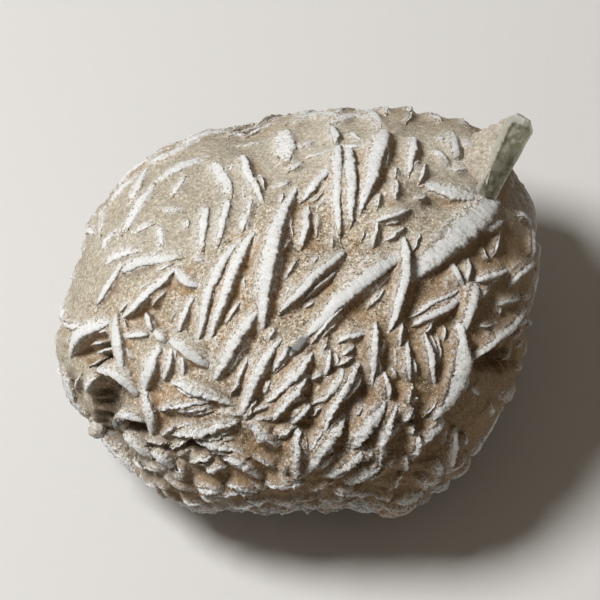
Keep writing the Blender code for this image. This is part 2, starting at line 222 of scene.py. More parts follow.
EDGE_BLADES = (
    (450, 261, 457, 275, 463, 290, 7, 1.6), (467, 257, 468, 270, 465, 288, 5, 1.3),
    (407, 318, 435, 302, 463, 286, 5, 1.5), (410, 326, 440, 310, 466, 293, 8, 1.8),
    (510, 269, 490, 275, 471, 282, 7, 1.5), (475, 281, 472, 300, 462, 335, 10, 2.4),
    (454, 311, 461, 364, 438, 414, 17, 3.0, 0.62), (449, 398, 439, 410, 430, 422, 8, 1.8),
    (490, 286, 484, 292, 476, 300, 4, 1.0), (522, 297, 508, 301, 492, 307, 5, 0.9),
    (475, 325, 485, 325, 496, 322, 3, 0.8), (528, 306, 505, 333, 466, 362, 7, 2.4),
    (463, 358, 467, 375, 463, 392, 4, 1.0), (445, 418, 432, 432, 421, 445, 9, 2.0),
    (455, 425, 453, 448, 450, 472, 8, 1.6), (436, 455, 438, 470, 444, 483, 9, 1.4),
    (423, 472, 424, 482, 427, 490, 5, 1.0), (426, 489, 410, 500, 390, 510, 8, 1.2),
    (500, 305, 498, 311, 497, 318, 3, 0.6), (468, 384, 474, 390, 480, 397, 3, 0.6),
    (488, 400, 492, 410, 495, 420, 3, 0.6),
)
LOBE_BLADES = (
    (96, 306, 108, 285, 125, 260, 6, 1.2), (121, 318, 148, 292, 179, 265, 7, 2.4),
    (177, 265, 186, 280, 202, 284, 7, 1.6), (60, 319, 70, 325, 82, 326, 5, 0.8),
    (69, 356, 80, 332, 112, 322, 10, 2.4), (116, 314, 115, 340, 125, 380, 9, 2.0),
    (124, 337, 138, 334, 150, 334, 4, 1.0), (145, 313, 149, 322, 153, 332, 5, 1.1),
    (195, 294, 184, 314, 179, 333, 5, 1.4), (155, 329, 161, 336, 168, 343, 5, 1.2),
    (170, 338, 188, 351, 211, 366, 8, 2.0), (161, 344, 148, 368, 144, 394, 9, 1.9),
    (143, 388, 147, 410, 151, 433, 9, 2.2), (173, 345, 168, 362, 164, 380, 5, 1.3),
    (182, 354, 182, 366, 184, 380, 4, 1.1), (96, 370, 115, 374, 138, 396, 7, 1.9),
    (86, 392, 88, 382, 100, 374, 5, 1.1), (114, 428, 124, 415, 146, 422, 7, 1.7),
    (124, 432, 134, 443, 155, 458, 7, 1.4), (152, 452, 161, 457, 176, 468, 7, 1.2),
)
SHINGLE_BLADES = (
    (171, 380, 198, 390, 236, 405, 9, 2.0), (158, 409, 185, 403, 213, 400, 6, 1.5),
    (178, 411, 195, 408, 214, 406, 4, 1.2), (172, 433, 205, 430, 240, 419, 9, 2.0),
    (250, 352, 240, 375, 230, 395, 5, 1.3), (313, 350, 292, 377, 264, 403, 9, 2.2),
    (309, 371, 290, 397, 271, 421, 9, 2.2), (296, 337, 282, 355, 272, 373, 6, 1.6),
    (270, 378, 267, 386, 263, 393, 4, 1.1), (246, 420, 262, 433, 282, 446, 9, 1.8),
    (298, 424, 285, 429, 271, 433, 5, 1.2), (299, 425, 296, 452, 296, 482, 9, 2.0),
    (196, 439, 215, 445, 246, 450, 7, 1.6), (188, 462, 202, 458, 215, 453, 5, 1.2),
    (205, 470, 214, 468, 228, 464, 6, 1.2), (220, 456, 242, 463, 262, 480, 9, 1.8),
    (329, 348, 327, 362, 324, 376, 6, 1.6), (331, 366, 343, 361, 353, 354, 4, 1.2),
    (309, 379, 316, 376, 323, 371, 4, 1.0), (341, 364, 336, 386, 310, 403, 8, 2.0),
    (311, 402, 302, 412, 290, 424, 6, 1.6), (300, 406, 296, 412, 291, 420, 4, 1.1),
    (359, 360, 340, 395, 313, 447, 9, 2.4), (363, 371, 350, 390, 341, 400, 5, 1.5),
    (347, 412, 328, 440, 305, 474, 11, 2.2), (388, 397, 368, 424, 347, 452, 14, 2.6),
    (382, 369, 386, 384, 388, 400, 5, 1.5), (398, 401, 385, 432, 377, 470, 9, 2.2),
    (365, 402, 358, 410, 352, 418, 5, 1.4), (365, 442, 350, 463, 322, 476, 9, 1.8),
    (413, 405, 408, 414, 403, 423, 5, 1.4), (413, 383, 409, 395, 406, 404, 4, 1.2),
    (413, 422, 412, 430, 410, 436, 4, 1.0), (418, 430, 416, 445, 411, 460, 7, 1.6),
    (407, 452, 405, 462, 405, 471, 4, 1.1), (373, 444, 369, 453, 365, 460, 6, 1.5),
    (382, 462, 366, 474, 341, 483, 10, 1.4), (334, 444, 332, 448, 331, 452, 3, 0.8),
    (262, 481, 285, 486, 305, 480, 7, 1.2), (226, 482, 240, 488, 262, 490, 6, 1.1),
    (196, 487, 210, 490, 226, 488, 7, 1.2), (240, 502, 248, 505, 256, 505, 5, 0.8),
    (332, 490, 345, 489, 356, 489, 5, 0.8), (179, 468, 180, 472, 178, 480, 10, 0.9),
)

# Share of the listed width and rise, width and depth of the ends, and reach of the white dust.
Style = namedtuple("Style", "wide high end_width end_depth dust")
CRISP = Style(1.06, 0.76, 0.12, 1.0, 1.0)
PACKED = Style(0.95, 0.95, 0.15, 1.0, 0.8)
SOFT = Style(1.75, 0.5, 0.3, 0.6, 1.4)
LOBED = Style(1.45, 0.8, 0.3, 0.6, 1.25)
GROUPS = ((LOW_RIDGES, SOFT), (LOBE_BLADES, LOBED), (SHINGLE_BLADES, PACKED))
GROUPS += ((TALL_BLADES, CRISP), (SHOULDER_BLADES, CRISP))
GROUPS += ((MIDDLE_BLADES, CRISP), (EDGE_BLADES, CRISP))
DRAWN_BLADES = [(row, style) for rows, style in GROUPS for row in rows]
print("drawn blades:", len(DRAWN_BLADES))

# %% [markdown]
# ## From a list entry to a blade in space
# A blade's crest is a smooth bow through its three points. It is cut into short stations, and each
# station knows its place on the skin, the blade's half width there and how high the crest stands.
# A real blade is a lens: thickest in the middle, pointed at both ends, where it dives back into
# the sand. The same stations are used twice: the sand is heaped against them, and the crisp crest
# is lofted over them.

# %% Blade stations
SHEET_LEAN = 0.55
LEAN_BAND = (-0.3, 0.2)
LENS_POWER = 0.62
CREST_POWER = 0.5
DRAWN_SPACING = 0.18 * MM


def leaning(normal):
    """The way blades stand: along the normal, and leaned out of the sheet where it shows."""
    lean = SHEET_LEAN * float(smooth_step(normal.dot(SHEET_OUT), *LEAN_BAND))
    return (normal + SHEET_OUT * lean).normalized()


class Blade:
    """One blade as stations along its crest."""

    def __init__(self, ends, up, width, rise, spacing, seed, style=CRISP, fullest=0.5):
        start, middle, end = ends
        self.length = (middle - start).length + (end - middle).length
        self.share = np.linspace(0.0, 1.0, max(5, round(self.length / spacing)) + 1)
        share, bend = self.share, middle * 2.0 - (start + end) * 0.5
        first, turn, last = (np.array(p) for p in (start, bend, end))
        self.places = (
            np.outer((1.0 - share) ** 2, first)
            + np.outer(2.0 * share * (1.0 - share), turn)
            + np.outer(share**2, last)
        )
        self.up, self.rise, self.seed, self.dust = np.array(up), rise, seed, style.dust
        swell = np.sin(math.pi * share ** (math.log(0.5) / math.log(fullest)))
        swell = np.maximum(swell, 0.0)
        end_width, end_depth = style.end_width, style.end_depth * MM
        self.half_width = width / 2.0 * (end_width + (1.0 - end_width) * swell**LENS_POWER)
        self.crest = (rise + end_depth) * swell**CREST_POWER - end_depth
        self.turn()

    def turn(self):
        """Work out the ways along and across the crest from its stations."""
        along = np.gradient(self.places, axis=0)
        aside = np.cross(along, self.up)
        self.aside = aside / np.linalg.norm(aside, axis=1)[:, None]
        self.along = along / np.linalg.norm(along, axis=1)[:, None]

    def settle(self):
        """Set the feet back, so that the crest and not the foot lies on the drawn line."""
        out = np.array(SHEET_OUT)
        drift = self.up - out * (self.up @ out)
        feet = self.places - np.outer(np.maximum(self.crest, 0.0), drift)
        for number, foot in enumerate(feet):
            hit = cast(Vector(foot - out * (foot @ out)))[0]
            self.places[number] = hit or self.places[number]
        self.turn()

    def centre(self):
        """Place of the middle station."""
        return self.places[len(self.places) // 2]


def drawn_blades():
    """The listed blades, dropped onto the skin."""
    blades = []
    for number, (row, style) in enumerate(DRAWN_BLADES):
        width, rise, *fullest = row[6:]
        feet = [dropped(row[first : first + 2]) for first in (0, 2, 4)]
        ends, up = [foot for foot, _ in feet], leaning(feet[1][1])
        width, rise = width * style.wide * STEP, rise * style.high * MM
        blades.append(Blade(ends, up, width, rise, DRAWN_SPACING, number, style, *fullest))
        blades[-1].settle()
    return blades


show_blades = drawn_blades()
print("crest drawn, mm:", round(sum(b.length for b in show_blades) / MM))

# %% [markdown]
# ## Split blades and fillers
# A thick blade is a stack of thin plates, and the outer plates often end lower, as a second, finer
# crest on the blade's flank with a dark gap behind it. And wherever the drawn blades leave room,
# small ones have grown, lying much as their neighbours lie. Both follow a rule, so a fixed seed
# places them: it would be dull to draw a hundred and fifty of them by hand.

# %% Split blades and fillers
SPLIT_SEED = 4
SPLIT_CHANCE = 0.42
LIT_SPLIT_SHARE = 0.3
LEAST_SPLIT_RISE = 1.0 * MM
SPLIT_WIDTH = (0.28, 0.62)
SPLIT_GAP = (0.35, 1.0)
FILLER_SEED = 12
FILLER_TRIES = 1500
FILLER_LENGTH = (2.6, 6.5)
FILLER_WIDTH = (0.28, 0.60)
FILLER_STRENGTH = (0.2, 0.45)
FILLER_GAP = 0.95 * MM
FILLER_FIELD = ((70, 530), (120, 505))
BARE_PLACE = (492, 358)
BARE_REACH = 4.0 * MM
CROWDED_BELOW = 340
NEIGHBOUR_REACH = 5.0 * MM
ALIKE_REACH = 2.0 * MM
SHADE_SIDE = np.array(SHEET_RIGHT * 0.75 - SHEET_UP * 0.66)
FIRST_SPLIT, FIRST_FILLER, FIRST_RULED = 300, 500, 1000


def split_blades(parents):
    """Thin lower plates on the flanks of the stronger blades."""
    chance = random.Random(SPLIT_SEED)
    blades = []
    for parent in parents:
        if parent.rise < LEAST_SPLIT_RISE or parent.dust > 1.0:
            continue
        for side, wanted in ((1.0, SPLIT_CHANCE), (-1.0, SPLIT_CHANCE * LIT_SPLIT_SHARE)):
            if chance.random() > wanted:
                continue
            first = chance.uniform(0.08, 0.45)
            last = chance.uniform(first + 0.28, 0.95)
            ends = []
            for share in (first, (first + last) / 2.0, last):
                station = round(share * (len(parent.places) - 1))
                away = parent.half_width[station] + chance.uniform(*SPLIT_GAP) * MM
                aside = parent.aside[station] * np.sign(parent.aside[station] @ SHADE_SIDE)
                ends.append(Vector(parent.places[station] + aside * side * away))
            rise = parent.rise * chance.uniform(0.3, 0.72)
            width = chance.uniform(*SPLIT_WIDTH) * MM
            seed = FIRST_SPLIT + len(blades)
            blades.append(Blade(ends, parent.up, width, rise, DRAWN_SPACING, seed))
    return blades


def filler_blades(parents):
    """Small blades in the room between the others, lying as their neighbours lie."""
    chance = random.Random(FILLER_SEED)
    bare = dropped(BARE_PLACE)[0]
    stations = np.concatenate([b.places[::2] for b in parents])
    ways = np.concatenate([b.along[::2] for b in parents])
    rises = np.concatenate([np.full(len(b.places[::2]), b.rise) for b in parents])
    blades = []
    for _ in range(FILLER_TRIES):
        place = (chance.uniform(*FILLER_FIELD[0]), chance.uniform(*FILLER_FIELD[1]))
        length = chance.uniform(*FILLER_LENGTH) * MM
        width = chance.uniform(*FILLER_WIDTH) * MM
        turn = chance.gauss(0.0, 0.2)
        strength = chance.uniform(*FILLER_STRENGTH)
        hit, normal = cast(on_sheet(place))
        if hit is None or (hit - bare).length < BARE_REACH:
            continue
        gap = np.linalg.norm(stations - np.array(hit), axis=1)
        room = FILLER_GAP * (1.25 if place[1] < CROWDED_BELOW else 0.8)
        if gap.min() < room or gap.min() > NEIGHBOUR_REACH:
            continue
        weight = np.exp(-((gap / ALIKE_REACH) ** 2))
        signed = ways * np.sign(ways @ ways[gap.argmin()])[:, None]
        way = Vector((signed * weight[:, None]).sum(axis=0))
        way = (way - normal * way.dot(normal)).normalized()
        way = Matrix.Rotation(turn, 3, normal) @ way
        near_rise = float((rises * weight).sum() / weight.sum())
        if chance.random() > (near_rise / MM - 0.8) / 1.2:
            continue
        half = way * length / 2.0
        ends = [skin.find_nearest(hit + half * step)[0] for step in (-1.0, 0.0, 1.0)]
        seed = FIRST_FILLER + len(blades)
        blade = Blade(ends, leaning(normal), width, near_rise * strength, DRAWN_SPACING, seed)
        blades.append(blade)
        stations = np.concatenate([stations, blade.places[::2]])
        ways = np.concatenate([ways, blade.along[::2]])
        own_rise = blade.rise / FILLER_STRENGTH[1]
        rises = np.concatenate([rises, np.full(len(blade.places[::2]), own_rise)])
    return blades


split = split_blades(show_blades)
fillers = filler_blades(show_blades + split)
print("split blades:", len(split), "fillers:", len(fillers))

# %% [markdown]
# ## Blades by rule on the sides, back and underside
# Nobody sees every side of a rose at once, but it is bladed all round. These blades follow a rule:
# a spiral of places from pole to pole, with sizes drawn at random from a fixed seed, all turned by
# a slowly changing grain, so that neighbours lie roughly parallel as they do on the real thing.
# The large ones repeat the solid's own rule. A second, denser spiral adds small ones.

# %% Blades by rule
LARGE = {"count": 150, "length": (10.0, 20.0), "width": (1.3, 2.6), "rise": (1.4, 2.8), "seed": 11}
SMALL = {"count": 1100, "length": (3.0, 8.5), "width": (0.4, 1.1), "rise": (0.5, 1.5), "seed": 29}
RIM_RISE = 0.35
RIM_BAND = 0.35
SHOW_LIMIT = 0.12
SMALL_SHOW_LIMIT = 0.1
FOOT_LIMIT = 0.5
FOOT_ROW = 462
GRAIN_TURN = Vector((2.2, 1.7, 1.3))
GRAIN_JITTER = 0.5
GOLDEN_ANGLE = math.pi * (3.0 - math.sqrt(5.0))
RULED_SPACING = 0.5 * MM


def ruled_blades(rule):
    """Blades outside the show face, along a spiral from pole to pole."""
    chance = random.Random(rule["seed"])
    blades = []
    for number in range(rule["count"]):
        level = 1.0 - 2.0 * (number + 0.5) / rule["count"]
        turn = number * GOLDEN_ANGLE
        ring = math.sqrt(1.0 - level * level)
        direction = Vector((ring * math.cos(turn), ring * math.sin(turn), level))
        length, width, rise = (
            chance.uniform(*rule[key]) * MM for key in ("length", "width", "rise")
        )
        jitter = chance.uniform(-GRAIN_JITTER, GRAIN_JITTER)
        centre, normal = outward(direction)
        facing = normal.dot(SHEET_OUT)
        at_foot = SHEET_CENTRE[1] - centre.dot(SHEET_UP) / STEP > FOOT_ROW
        limit = FOOT_LIMIT if at_foot else SMALL_SHOW_LIMIT
        if facing > (SHOW_LIMIT if rule is LARGE else limit):
            continue
        if facing > -RIM_BAND and not at_foot:
            rise *= RIM_RISE
        east = normal.orthogonal().normalized()
        along = Matrix.Rotation(GRAIN_TURN.dot(direction) + jitter, 3, normal) @ east
        if at_foot:
            level_way = SHEET_RIGHT - normal * SHEET_RIGHT.dot(normal)
            along = Matrix.Rotation(jitter, 3, normal) @ level_way.normalized()
        first = outward((centre - along * length / 2.0).normalized())[0]
        last = outward((centre + along * length / 2.0).normalized())[0]
        ends, up = (first, centre, last), leaning(normal)
        blades.append(Blade(ends, up, width, rise, RULED_SPACING, FIRST_RULED + number))
    return blades


back_blades = ruled_blades(LARGE)
small_blades = ruled_blades(SMALL)
print("blades by rule:", len(back_blades), "large and", len(small_blades), "small")

# %% [markdown]
# ## The sand between the blades
# The rose's bulk is sand held by gypsum. Between two crests it lies in a trough, and it climbs each
# blade's flank in a steep, hollow curve. Sculpting that by hand would take days. It is a rule, so it
# is worked out: every point of a fine skin asks how far it is from each blade near it, and the
# blade answers with a height that falls away quickly from its edge. Where blades meet, their
# heights are blended, which gives the soft saddles between them.

# %% A fine skin
SKIN_SUBDIVISIONS = 7
FINE_LIMIT = 0.16


def fine_skin():
    """An icosphere of directions, cut twice as fine where it faces out of the sheet."""
    sphere = bmesh.new()
    bmesh.ops.create_icosphere(sphere, subdivisions=SKIN_SUBDIVISIONS, radius=1.0)
    facing = Vector([axis / size for axis, size in zip(SHEET_OUT, HALF_SIZES)]).normalized()
    near = {v for v in sphere.verts if v.co.dot(facing) > FINE_LIMIT}
    edges = [e for e in sphere.edges if e.verts[0] in near and e.verts[1] in near]
    bmesh.ops.subdivide_edges(sphere, edges=edges, cuts=1, use_grid_fill=True)
    bmesh.ops.triangulate(sphere, faces=[f for f in sphere.faces if len(f.verts) > 3])
    return sphere


def mesh_of(name, shape):
    """Plain mesh from a finished bmesh."""
    mesh = bpy.data.meshes.new(name)
    shape.to_mesh(mesh)
    shape.free()
    return mesh


def vectors_of(mesh, key):
    """One vector a vertex, such as its place or its normal, as an array."""
    values = np.empty(len(mesh.vertices) * 3)
    mesh.vertices.foreach_get(key, values)
    return values.reshape(-1, 3)


def place_vertices(mesh, points):
    mesh.vertices.foreach_set("co", points.ravel())
    mesh.update()


sand_mesh = mesh_of("sand_body", fine_skin())
directions = vectors_of(sand_mesh, "co")
directions /= np.linalg.norm(directions, axis=1)[:, None]
skin_points = nodule(directions)
place_vertices(sand_mesh, skin_points)
skin_normals = vectors_of(sand_mesh, "normal")
print("sand body triangles:", len(sand_mesh.polygons))

# %% Heaping the sand against the blades
TROUGH = 1.0 * MM
SHALLOW_TROUGH = 0.3 * MM
WORN_TROUGH = 0.8
LIT_BURY = (0.05 * MM, 0.29)
SHADED_BURY = (0.05 * MM, 0.38)
FLANK = 0.45 * MM
FLANK_GROWTH = 0.26
LIT_FLANK = 1.7
SHADED_FLANK = 1.1
LIT_SIDE_DUST_AND_LIGHT = 0.42 * MM
SHADED_DUST = 0.16 * MM
LEE_REACH = 1.75 * MM
LEE_HOLLOW = 0.40 * MM
FLANK_POWER = 1.1
REACH = 6.0 * MM
HEAP_SPACING = 0.5 * MM
BLEND_POWER = 4.0
VIGOUR_REACH = 5.0 * MM
STRONG_RISE = 2.2 * MM
WORN_ROWS = (345.0, 430.0)
WORN_SIDE = (415.0, 450.0)


def sheet_place(points):
    """Sheet steps of each point, and how far it lies out of the sheet."""
    right = points @ np.array(SHEET_RIGHT) / STEP + SHEET_CENTRE[0]
    down = SHEET_CENTRE[1] - points @ np.array(SHEET_UP) / STEP
    return right, down, points @ np.array(SHEET_OUT)


def wear_at(points):
    """How weathered each point is: clean in the middle of the show face, worn towards the foot."""
    right, down, _ = sheet_place(points)
    return smooth_step(down, *WORN_ROWS) * (1.0 - smooth_step(right, *WORN_SIDE))


def buried(bury, rise):
    """How far the sand stops below a crest of this rise."""
    return bury[0] + bury[1] * rise


def vigour_of(points, blades):
    """How strongly bladed the skin is round each point, from 0 on calm sand to 1."""
    total = np.full(len(points), 1e-6)
    weighted = np.zeros(len(points))
    for blade in blades:
        gap = np.sum((points - blade.centre()) ** 2, axis=1)
        weight = np.exp(-gap / (VIGOUR_REACH + blade.length / 4.0) ** 2)
        total += weight
        weighted += weight * blade.rise
    return np.clip(weighted / total / STRONG_RISE, 0.0, 1.0)


def heap_sand(points, blades):
    """Sand height over the skin, then nearness, the shaded-side mark for the hollow and the painted
    shade, trough depth and vigour at each point.
    """
    strong = [blade for blade in blades if not FIRST_SPLIT <= blade.seed < FIRST_RULED]
    vigour = vigour_of(points, strong)
    trough = SHALLOW_TROUGH + (TROUGH - SHALLOW_TROUGH) * vigour
    trough *= 1.0 + WORN_TROUGH * wear_at(points)
    blended, nearness, lee = np.zeros((3, len(points)))
    for blade in blades:
        away = np.sum((points - blade.centre()) ** 2, axis=1)
        index = np.nonzero(away < (blade.length / 2 + REACH) ** 2)[0]
        if len(index) == 0:
            continue
        step = max(1, round(HEAP_SPACING / (blade.length / len(blade.places))))
        places, aside = blade.places[::step], blade.aside[::step]
        gap = points[index][:, None, :] - places[None, :, :]
        gap -= (gap @ blade.up)[:, :, None] * blade.up
        distance = np.linalg.norm(gap, axis=2)
        station = np.argmin(distance, axis=1)
        rows = np.arange(len(index))
        gap, distance = gap[rows, station], distance[rows, station]
        width, crest = blade.half_width[::step][station], blade.crest[::step][station]
        flank = FLANK + FLANK_GROWTH * blade.rise
        shaded = np.sum(gap * aside[station], axis=1) * np.sign(aside[station] @ SHADE_SIDE) > 0
        flank = flank * np.where(shaded, SHADED_FLANK, LIT_FLANK)
        outside = np.maximum(distance - width, 0.0)
        below = np.where(shaded, buried(SHADED_BURY, blade.rise), buried(LIT_BURY, blade.rise))
        top = np.maximum(trough[index] + crest - below, 0.0)
        height = top * np.exp(-((outside / flank) ** FLANK_POWER))
        blended[index] += height**BLEND_POWER
        # Dust reaches further on the side towards the lamp: real gypsum dust, widened there as
        # painted light.
        dust = np.where(shaded, SHADED_DUST, LIT_SIDE_DUST_AND_LIGHT) * blade.dust
        near = np.exp(-outside / dust) * (crest > -0.2 * MM)
        nearness[index] = np.maximum(near, nearness[index])
        # The mark behind each crest on its shaded side: it presses a real hollow and carries painted
        # brown shade.
        behind = shaded * np.exp(-((outside / LEE_REACH) ** 2))
        behind *= smooth_step(crest, 0.2 * MM, 1.6 * MM)
        lee[index] = np.maximum(behind, lee[index])
    return blended ** (1 / BLEND_POWER) - trough, nearness, lee, trough, vigour


all_blades = show_blades + split + fillers + back_blades + small_blades
height, nearness, lee, trough, vigour = heap_sand(skin_points, all_blades)
print("sand height, mm:", round(height.min() / MM, 2), "to", round(height.max() / MM, 2))

# %% [markdown]
# ## Hollows and roughness
# A few places are deeper than the troughs: the dark pockets under the lobes at the lower left, and
# the flank beyond the strong edge on the right. They are pressed in as smooth bowls, each a place
# and half sizes on the sheet in steps, and a depth in millimetres. A few lumps of the outline bulge
# out in the same way. Then the sand gets its own roughness: slow waves, lumps of about a
# millimetre, and a finer grain at the size of the mesh.

# %% Hollows and roughness
HOLLOWS = (
    (106, 402, 12, 24, 4.5), (124, 400, 9, 16, 1.5), (99, 350, 22, 13, 3.4), (134, 425, 15, 7, 3.4),
    (163, 448, 14, 5, 2.0), (205, 442, 30, 7, 1.8), (152, 318, 20, 14, 1.4), (70, 326, 14, 4, 1.5),
    (240, 395, 12, 9, 1.0), (492, 358, 19, 11, 3.2), (470, 450, 14, 34, 1.0),
    (58, 300, 12, 14, 0.9), (66, 394, 14, 20, 1.6), (108, 450, 24, 24, 2.8), (240, 128, 30, 8, 0.6),
    (445, 200, 22, 9, 0.7),
)
BULGES = (
    (56, 342, 14, 16, 1.1), (62, 322, 16, 5, 0.9), (90, 212, 14, 16, 0.8), (166, 490, 26, 14, 1.0),
    (520, 362, 16, 20, 1.1), (508, 402, 14, 22, 0.6), (542, 222, 10, 16, 0.7),
    (472, 478, 20, 22, 0.8), (395, 508, 22, 10, 0.8),
)
BOWL_WARP = 6.0
BOWL_WARP_SPACING = 1.8 * MM
WAVES = ((3.4 * MM, 0.22 * MM), (1.3 * MM, 0.13 * MM), (0.55 * MM, 0.085 * MM))
WAVE_SHIFT = Vector((3.7, 1.1, 8.3))
WORN_ROUGHNESS = 1.1
# Soft round patches on the sheet, each a place with its reach in steps. The first list adds browner
# sand, partly iron and partly painted shade; the second list is painted light.
RUST_AND_SHADE_PATCHES = ((510, 182, 24), (492, 246, 34))
PAINTED_LIGHT_PATCHES = ((315, 140, 42), (462, 160, 34), (385, 215, 40))
RUST_AND_SHADE_SPACING = 7.0 * MM


def bowls(points, facing, listed):
    """Sum of the listed bowls at each point of the shown side."""
    right, down, _ = sheet_place(points)
    warp = noise_at(points, BOWL_WARP_SPACING, noise.noise_vector)
    right, down = right + BOWL_WARP * warp[:, 0], down + BOWL_WARP * warp[:, 1]
    depth = np.zeros(len(points))
    for x, y, wide, high, deep in listed:
        away = ((right - x) / wide) ** 2 + ((down - y) / high) ** 2
        depth += deep * MM * np.exp(-(away**1.5))
    return depth * smooth_step(facing, -0.5, -0.15)


def roughness_of(points):
    """Sand roughness at each point."""
    rough = np.zeros(len(points))
    for spacing, amount in WAVES:
        shift = WAVE_SHIFT * spacing
        rough += amount * np.array([noise.noise((Vector(p) + shift) / spacing) for p in points])
    return rough


def patch(points, listed):
    """How near each point is to the middle of the nearest listed patch, from 0 to 1."""
    right, down, _ = sheet_place(points)
    total = np.zeros(len(points))
    for x, y, reach in listed:
        total = np.maximum(total, np.exp(-(((right - x) ** 2 + (down - y) ** 2) / reach**2)))
    return total


def rusty_side(points):
    """How iron-stained and painted in shade the sand is: lighter at the upper left of the sheet,
    towards the lamp, browner at the lower right, away from it.
    """
    right, down, out = sheet_place(points)
    across = 0.55 * (right - 60.0) / 480.0 + 0.62 * (down - 105.0) / 400.0
    across += 0.16 * patch(points, RUST_AND_SHADE_PATCHES)
    shown = smooth_step(out, -6.0 * MM, 6.0 * MM)
    across += 0.16 * noise_at(points, RUST_AND_SHADE_SPACING)
    return smooth_step(across, 0.52, 0.86) * shown + 0.45 * (1.0 - shown)


facing = skin_normals @ np.array(SHEET_OUT)
hollow = bowls(skin_points, facing, HOLLOWS)
bulge = bowls(skin_points, facing, BULGES)
lifted = height - hollow * (1.0 - nearness * 0.6) + bulge
lifted -= LEE_HOLLOW * lee * (1.0 - nearness)
worn = wear_at(skin_points) * (facing > -0.5)
rough_share = 0.55 + 0.45 * smooth_step(vigour, 0.3, 0.7)
lifted += roughness_of(skin_points) * (rough_share + WORN_ROUGHNESS * worn)
lean = skin_normals + np.outer(SHEET_LEAN * smooth_step(facing, *LEAN_BAND), SHEET_OUT)
lean /= np.linalg.norm(lean, axis=1)[:, None]
sand_points = skin_points + lean * lifted[:, None]
sand_points[:, 2] = np.maximum(sand_points[:, 2], FOOT_LEVEL)
place_vertices(sand_mesh, sand_points + np.array(BODY_CENTRE))
print("deepest hollow, mm:", round(hollow.max() / MM, 1))

# %% Marks for the finishes
def mark(mesh, **marks):
    """Store one value a vertex for the materials and the scatter trees."""
    for name, values in marks.items():
        layer = mesh.attributes.new(name, "FLOAT", "POINT")
        layer.data.foreach_set("value", values)


def shown_piece(mesh, smooth=True):
    """Object that shows a finished mesh."""
    if smooth:
        mesh.shade_smooth()
    piece = bpy.data.objects.new(mesh.name, mesh)
    bpy.context.scene.collection.objects.link(piece)
    mesh.calc_loop_triangles()
    print(piece.name, "triangles:", len(mesh.loop_triangles))
    return piece


# Painted shade: the depth mark darkens troughs, hollows and steep flanks, where shade falls. It is
# partly iron in the sand and partly painted shade.
steep = 1.0 - np.sum(vectors_of(sand_mesh, "normal") * skin_normals, axis=1)
depth = 0.75 * smooth_step(trough - height + hollow, 1.0 * MM, 3.6 * MM)
mark(
    sand_mesh,
    crest=nearness,
    depth=np.maximum(depth, smooth_step(steep, 0.12, 0.5)),
    coarse=smooth_step(vigour, 0.35, 0.8) * (1.0 - 0.6 * nearness),
    # Painted shade: the shaded-side mark paints brown shade on the sand behind each crest.
    lee=lee,
    # Browner towards the lower right, away from the lamp: partly iron, partly painted shade.
    rust=rusty_side(skin_points),
    worn=worn,
    # Painted light: lighter sand on the top and the right shoulder.
    pale=patch(skin_points, PAINTED_LIGHT_PATCHES) * (facing > -0.5),
)
sand_body = shown_piece(sand_mesh)

# %% [markdown]
# ## The crests
# The crest is what catches the eye: a white strip with ragged edges, cross-ribbed where the
# crystal's layers end. Every blade leans the same way, so its section isn't even: a broad face
# slopes up out of the banked sand to a ridge, and past the ridge the blade drops in a short steep
# wall that throws the shadow. The sand body is too coarse for such an edge, so each crest is lofted
# as its own closed strip over the blade's stations: a row of points goes down one wall, over the
# face and down the other, and both feet stand under the sand. Noise along the crest nicks its
# edges and lets its top rise and fall, because no real blade is a clean curve.

# %% Crest section
SECTION = (-1.0, -0.72, -0.35, 0.05, 0.42, 0.76, 1.0)
RIDGE = 0.62
WALL_TOP = 0.28 * MM
FACE_POWER = 1.35
FACE_TUCK = 0.18 * MM
ROUNDING = 0.10 * MM
FOOT_FLARE = 1.15
FOOT_DEPTH = 1.6 * MM
FOOT_GAP = 0.05 * MM
# Bands of noise, each a spacing and an amount.
WAVER = ((5.0 * MM, 0.22 * MM), (1.6 * MM, 0.09 * MM))
NICK = ((1.3 * MM, 0.16), (0.40 * MM, 0.22))
UNEVEN = ((3.0 * MM, 0.16 * MM),)
GRIT = ((0.36 * MM, 0.11 * MM), (0.9 * MM, 0.15 * MM))
WORN_GRIT = 1.1
DUSTED_WEAR = 0.6
PLATE_WIDTH = 2.9 * MM
SMOKY_ENDS = ((297, 344, 11), (246, 420, 9), (120, 425, 9))


def wobble(places, bands, seed):
    """Sum of noise bands at each place."""
    shift = Vector((seed * 0.37 % 7.0, seed * 0.73 % 11.0, seed * 0.19 % 5.0))
    total = np.zeros(len(places))
    for spacing, amount in bands:
        total += amount * np.array([noise.noise(Vector(p) / spacing + shift) for p in places])
    return total


def section_point(across, fall):
    """Lift and whiteness of the section at -1, the banked edge, to 1, the steep edge."""
    if across < RIDGE:
        share = (RIDGE - across) / (1.0 + RIDGE)
        return -fall * share**FACE_POWER, 1.0 - 0.7 * float(smooth_step(share, 0.5, 1.0))
    share = (across - RIDGE) / (1.0 - RIDGE)
    return -ROUNDING * share**2, 1.0 - 0.25 * share


def wear_of(blade):
    return float(wear_at(blade.centre()[None, :])[0])


